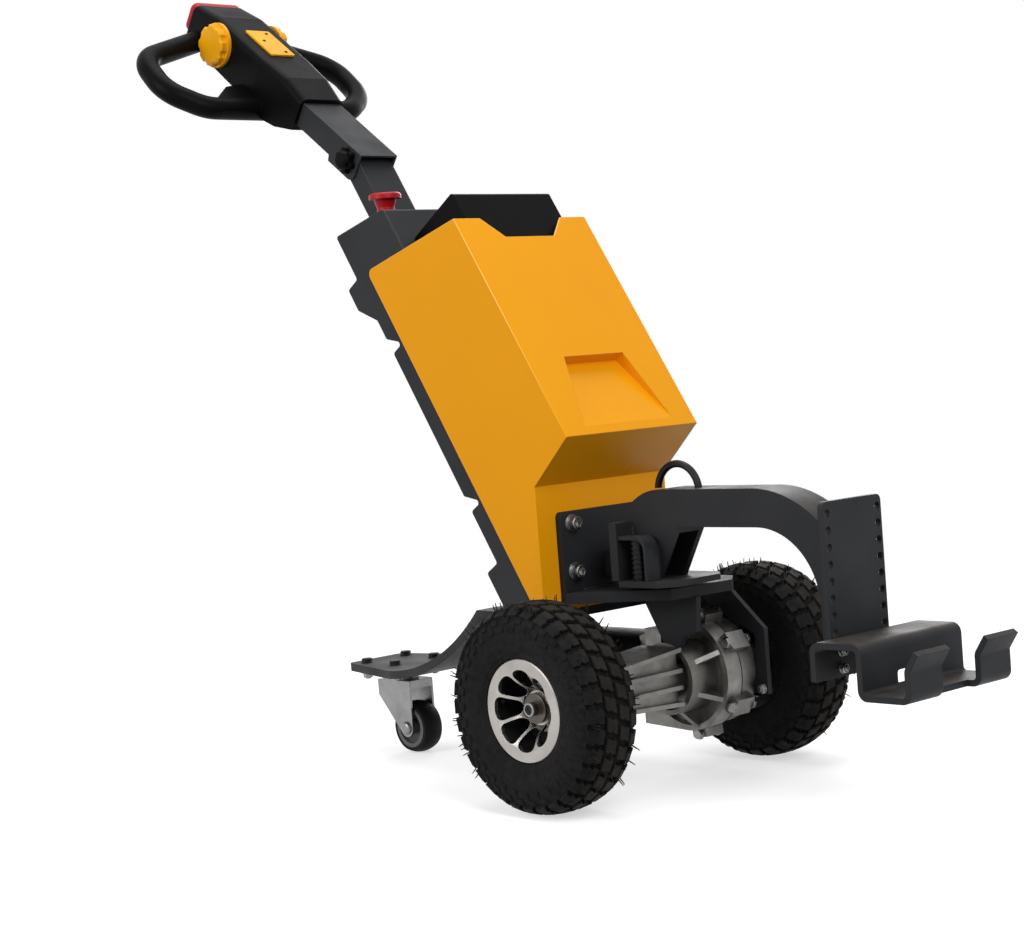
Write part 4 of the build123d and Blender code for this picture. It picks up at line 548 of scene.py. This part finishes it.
def on_section(along, height):
    """(out, radius) at a signed length from the crown, lifted square to the rubber."""
    reach = abs(along)
    i = max(k for k in range(len(LENGTHS) - 1) if LENGTHS[k] <= reach)
    (out_a, radius_a), (out_b, radius_b) = SECTION[i], SECTION[i + 1]
    span = LENGTHS[i + 1] - LENGTHS[i]
    t = (reach - LENGTHS[i]) / span
    normal = (-(radius_b - radius_a) / span, (out_b - out_a) / span)
    out = out_a + t * (out_b - out_a) + height * normal[0]
    return math.copysign(out, along), radius_a + t * (radius_b - radius_a) + height * normal[1]


# Block outlines: (round the tyre, across the tread), as shares of pitch and width
CENTRE_BLOCK = (
    (-.44, -.5), (.20, -.5), (.32, -.24), (.24, -.10), (.38, .14), (.44, .5), (-.20, .5), (-.32, .24),
    (-.24, .10), (-.38, -.14),
)
SHOULDER_BLOCK = (
    (-.36, -.5), (.30, -.5), (.40, -.24), (.28, -.10), (.40, .06), (.28, .20), (.38, .5), (-.34, .5),
    (-.40, .16), (-.28, .02), (-.38, -.16),
)
RIB = ((-.30, -.5), (.30, -.5), (.22, .5), (-.22, .5))
# (outline, length from the crown, width, height, stagger)
TREAD_ROWS = [
    (CENTRE_BLOCK, -10.5, 16.5, 6.1, 0.0), (CENTRE_BLOCK, 10.5, 16.5, 6.1, 0.5),
    (SHOULDER_BLOCK, -32.0, 20.0, 5.8, 0.55), (SHOULDER_BLOCK, 32.0, 20.0, 5.8, 0.05),
    (RIB, -50.0, 21.0, 2.1, 0.55), (RIB, 50.0, 21.0, 2.1, 0.05),
    (RIB, -46.0, 8.0, 2.1, 1.05), (RIB, 46.0, 8.0, 2.1, 0.55),
]
BLOCKS = 32
# (share of the height, share of the outline)
BLOCK_RINGS = ((-0.3, 1.06), (0.86, 1.0), (1.0, 0.93))
HAIRS = 130
HAIR_FREE = math.radians(38)    # no hairs are left where the tyre stands
HAIR_ROWS = (-38.0, -21.0, 0.0, 21.0, 38.0)
HAIR_TIPS = (140.0, 144.5)
HAIR_SWAY = 0.02
HAIR = ((0, 0.06, "round"), (0.6, 0.05, "round"), (1, 0.03, "round"))
HAIR_SIDES = 5
TYRE_SEGMENTS = 160
TYRE_SHARP, BEAD_SHARP = 40.0, 60.0   # edges sharper than these degrees stay crisp

for side, body, node in ((-1, "wheel_right", "tyre_right"), (1, "wheel_left", "tyre_left")):
    bm = bmesh.new()
    turned(bm, side, [(-out, radius) for out, radius in reversed(SECTION[1:])] + SECTION, TYRE_SEGMENTS)
    for outline, along, width, height, stagger in TREAD_ROWS:
        for count in range(BLOCKS):
            rings = []
            for lift, share in BLOCK_RINGS:
                ring = []
                for u, v in outline:
                    out, radius = on_section(along + v * width * share, lift * height)
                    angle = math.tau * (count + stagger + u * share) / BLOCKS
                    ring.append(bm.verts.new(wheel_spot(side, radius, angle, out)))
                rings.append(ring)
            join_rings(bm, rings)
            bm.faces.new(rings[-1])
    for _ in range(HAIRS):
        angle = random.uniform(-math.pi / 2 + HAIR_FREE, 1.5 * math.pi - HAIR_FREE)
        out, radius = on_section(random.choice(HAIR_ROWS), -0.5)
        root = wheel_spot(side, radius, angle, out)
        reach = random.uniform(*HAIR_TIPS)
        tip = wheel_spot(side, reach, angle + random.uniform(-HAIR_SWAY, HAIR_SWAY), out * 1.02)
        hair = tip - root
        spun(bm, root, hair, hair.length * 1000, HAIR, HAIR_SIDES)
    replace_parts(add_piece(f"{node}_rubber", bm, body, "tyre_rubber", TYRE_SHARP), node)
    bm = bmesh.new()
    spoked_rim(bm, side)
    rim = node.replace("tyre", "rim")
    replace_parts(add_piece(f"{rim}_alloy", bm, body, "rim_alloy"), rim)
    # black disc for the painted shade behind the spokes
    bm = bmesh.new()
    turned(bm, side, SHADE_DISC, SHADE_DISC_SEGMENTS)
    add_piece(f"{body}_shade_disc", bm, body, "black_steel")
    bm = bmesh.new()
    root, tip = (wheel_spot(side, radius, VALVE_ANGLE, out) for radius, out in (VALVE_ROOT, VALVE_TIP))
    spun(bm, root, tip - root, 1.0, VALVE, 16)
    add_piece(f"{body}_valve", bm, body, "black_plastic")

# Dark joint between the gearbox halves: (out from the left wheel's middle plane, radius)
GASKET = ((-128.6, 77.0), (-127.6, 77.0), (-127.6, 78.5), (-128.6, 78.5))
GASKET_SEGMENTS = 96
bm = bmesh.new()
turned(bm, 1, GASKET, GASKET_SEGMENTS)
add_piece("gearbox_gasket", bm, "chassis", "black_steel")

# Weld beads: (radius, ends) along the neck, the cross piece, the tongue and the post
WELDS = [
    (3.2, ((348.5, -28.5, 196), (348.5, -28.5, 332))),
    (3.2, ((348.5, 28.5, 196), (348.5, 28.5, 332))),
    (2.8, ((2.5, -28.5, 290), (2.5, -28.5, 356))),
    (2.8, ((2.5, 28.5, 290), (2.5, 28.5, 356))),
    (2.8, ((-68.5, -60, 270.5), (-68.5, 60, 270.5))),
    (2.4, (leaning(-205.5, -32.5, 334), leaning(-205.5, -32.5, 490))),
    (2.4, (leaning(-205.5, 32.5, 334), leaning(-205.5, 32.5, 490))),
]
BEAD_STEP = 1.3
BEAD_RIPPLE = 4
BEAD_SIDES = 9
BEAD_TURNS = [math.tau * i / BEAD_SIDES for i in range(BEAD_SIDES)]
bm = bmesh.new()
for radius, (start, end) in WELDS:
    start, end = at(*start), at(*end)
    run = end - start
    turn = run.to_track_quat("Z", "Y").to_matrix()
    steps = int(run.length * 1000 / BEAD_STEP)
    rings = []
    for step in range(steps + 1):
        swell = 0.84 + 0.20 * abs(math.sin(math.pi * step / BEAD_RIPPLE)) + random.uniform(-0.03, 0.03)
        reach = radius / 1000 * (0.3 if step in (0, steps) else swell)
        centre = start + run * step / steps
        rings.append([
            bm.verts.new(centre + turn @ Vector((reach * math.cos(angle), reach * math.sin(angle), 0)))
            for angle in BEAD_TURNS
        ])
    join_rings(bm, rings)
    bm.faces.new(rings[0])
    bm.faces.new(rings[-1])
add_piece("weld_beads", bm, "chassis", "frame_paint", BEAD_SHARP)

# Small blank buttons on the yellow switch plate: (along the arm, across)
ARM_RISE = math.radians(36.6)
ALONG = Vector((-math.cos(ARM_RISE), 0, math.sin(ARM_RISE)))
ABOVE = Vector((math.sin(ARM_RISE), 0, math.cos(ARM_RISE)))
BUTTONS = ((310, -8), (273, 11), (335, 12))
PLATE_TOP = 42.8
BUTTON_SIZE = 3.0
bm = bmesh.new()
for along, across in BUTTONS:
    middle = Vector((TILLER_PIVOT.x, across / 1000, TILLER_PIVOT.z))
    spun(bm, middle + (ALONG * along + ABOVE * PLATE_TOP) / 1000, ABOVE, BUTTON_SIZE, FORMS["button"])
add_piece("switch_buttons", bm, "tiller", "black_plastic")

# Stage, light and camera
FLOOR_HALF, FLOOR_Z = 30.0, -0.0002
CORNERS = ((-1, -1), (1, -1), (1, 1), (-1, 1))
floor_mesh = bpy.data.meshes.new("floor")
floor_mesh.from_pydata([(x * FLOOR_HALF, y * FLOOR_HALF, FLOOR_Z) for x, y in CORNERS], [], [(0, 1, 2, 3)])
floor = bpy.data.objects.new("floor", floor_mesh)
bpy.context.scene.collection.objects.link(floor)


def seen_ray(tree):
    """One for rays that show the background: camera, glossy and transmission rays."""
    paths = tree.nodes.new("ShaderNodeLightPath")
    value = paths.outputs["Is Camera Ray"]
    for ray in ("Is Glossy Ray", "Is Transmission Ray"):
        either = tree.nodes.new("ShaderNodeMath")
        either.operation = "MAXIMUM"
        tree.links.new(value, either.inputs[0])
        tree.links.new(paths.outputs[ray], either.inputs[1])
        value = either.outputs["Value"]
    return value


# Floor: pale with the object's shadow where it is seen, white far away, dimmer for bounced light
NEAR_FLOOR, FAR_FLOOR = 1.2, 2.6
FLOOR_LIFT = 0.57
floor_look = Shader("floor_look", (0.26, 0.26, 0.26), 0.95, Specular_IOR_Level=0.0)
floor_tree = floor_look.tree
floor_seen = floor_look.add("ShaderNodeBsdfDiffuse")
floor_seen.inputs["Color"].default_value = (0.66, 0.66, 0.66, 1)
floor_lift = floor_look.add("ShaderNodeEmission")
floor_lift.inputs["Strength"].default_value = FLOOR_LIFT
floor_pale = floor_look.add("ShaderNodeAddShader")
floor_look.link(floor_seen.outputs["BSDF"], floor_pale.inputs[0])
floor_look.link(floor_lift.outputs["Emission"], floor_pale.inputs[1])
floor_white = floor_look.add("ShaderNodeEmission")
away = floor_look.add("ShaderNodeVectorMath", operation="LENGTH")
floor_look.link(floor_look.position, away.inputs[0])
floor_far = floor_look.add("ShaderNodeMixShader")
distance = floor_look.spread(away.outputs["Value"], NEAR_FLOOR, FAR_FLOOR, 0, 1)
floor_look.link(distance, floor_far.inputs["Fac"])
floor_look.link(floor_pale.outputs["Shader"], floor_far.inputs[1])
floor_look.link(floor_white.outputs["Emission"], floor_far.inputs[2])
floor_mix = floor_look.add("ShaderNodeMixShader")
floor_look.link(seen_ray(floor_tree), floor_mix.inputs["Fac"])
floor_look.link(floor_look.bsdf.outputs["BSDF"], floor_mix.inputs[1])
floor_look.link(floor_far.outputs["Shader"], floor_mix.inputs[2])
floor_look.link(floor_mix.outputs["Shader"], floor_tree.nodes["Material Output"].inputs["Surface"])
floor_mesh.materials.append(floor_look.material)

world = bpy.data.worlds.new("studio")
bpy.context.scene.world = world
world.use_nodes = True
tree = world.node_tree
background = tree.nodes["Background"]
background.inputs["Color"].default_value = (1, 1, 1, 1)
LIGHTING, SEEN = 0.28, 1.0
strength = tree.nodes.new("ShaderNodeMapRange")
strength.inputs["To Min"].default_value = LIGHTING
strength.inputs["To Max"].default_value = SEEN
tree.links.new(seen_ray(tree), strength.inputs["Value"])
tree.links.new(strength.outputs["Result"], background.inputs["Strength"])

AIM = Vector((0.0, 0.0, 0.5))
# (name, place, size, watts)
LAMPS = [
    ("key", (2.4, -0.8, 2.1), 1.6, 45.0),
    ("fill", (-0.5, -3.0, 1.7), 1.8, 48.0),
    ("top", (-0.3, 0.2, 3.2), 2.0, 38.0),
    ("rim", (-1.7, 2.7, 1.9), 1.8, 40.0),
]
for name, place, size, watts in LAMPS:
    lamp = bpy.data.lights.new(name, "AREA")
    lamp.size = size
    lamp.energy = watts
    holder = bpy.data.objects.new(name, lamp)
    holder.location = place
    holder.rotation_euler = (AIM - Vector(place)).to_track_quat("-Z", "Y").to_euler()
    bpy.context.scene.collection.objects.link(holder)

forward = Vector((-math.cos(YAW) * math.cos(PITCH), math.sin(YAW) * math.cos(PITCH), -math.sin(PITCH)))
level = Vector((math.sin(YAW), math.cos(YAW), 0))
upright = level.cross(forward)
right = math.cos(ROLL) * level + math.sin(ROLL) * upright
up = math.cos(ROLL) * upright - math.sin(ROLL) * level
lens = bpy.data.cameras.new("camera")
lens.sensor_fit = "HORIZONTAL"
lens.sensor_width = SENSOR_MM
lens.lens = FOCAL_PX / IMAGE_W * SENSOR_MM
lens.clip_end = 100.0
camera = bpy.data.objects.new("camera", lens)
camera.matrix_world = Matrix((right, up, -forward)).transposed().to_4x4()
camera.location = Vector((WHEEL_CENTRE.x, 0, 0)) + CAMERA_FROM_AXLE
bpy.context.scene.collection.objects.link(camera)
bpy.context.scene.camera = camera
bpy.context.scene.view_settings.view_transform = "Standard"
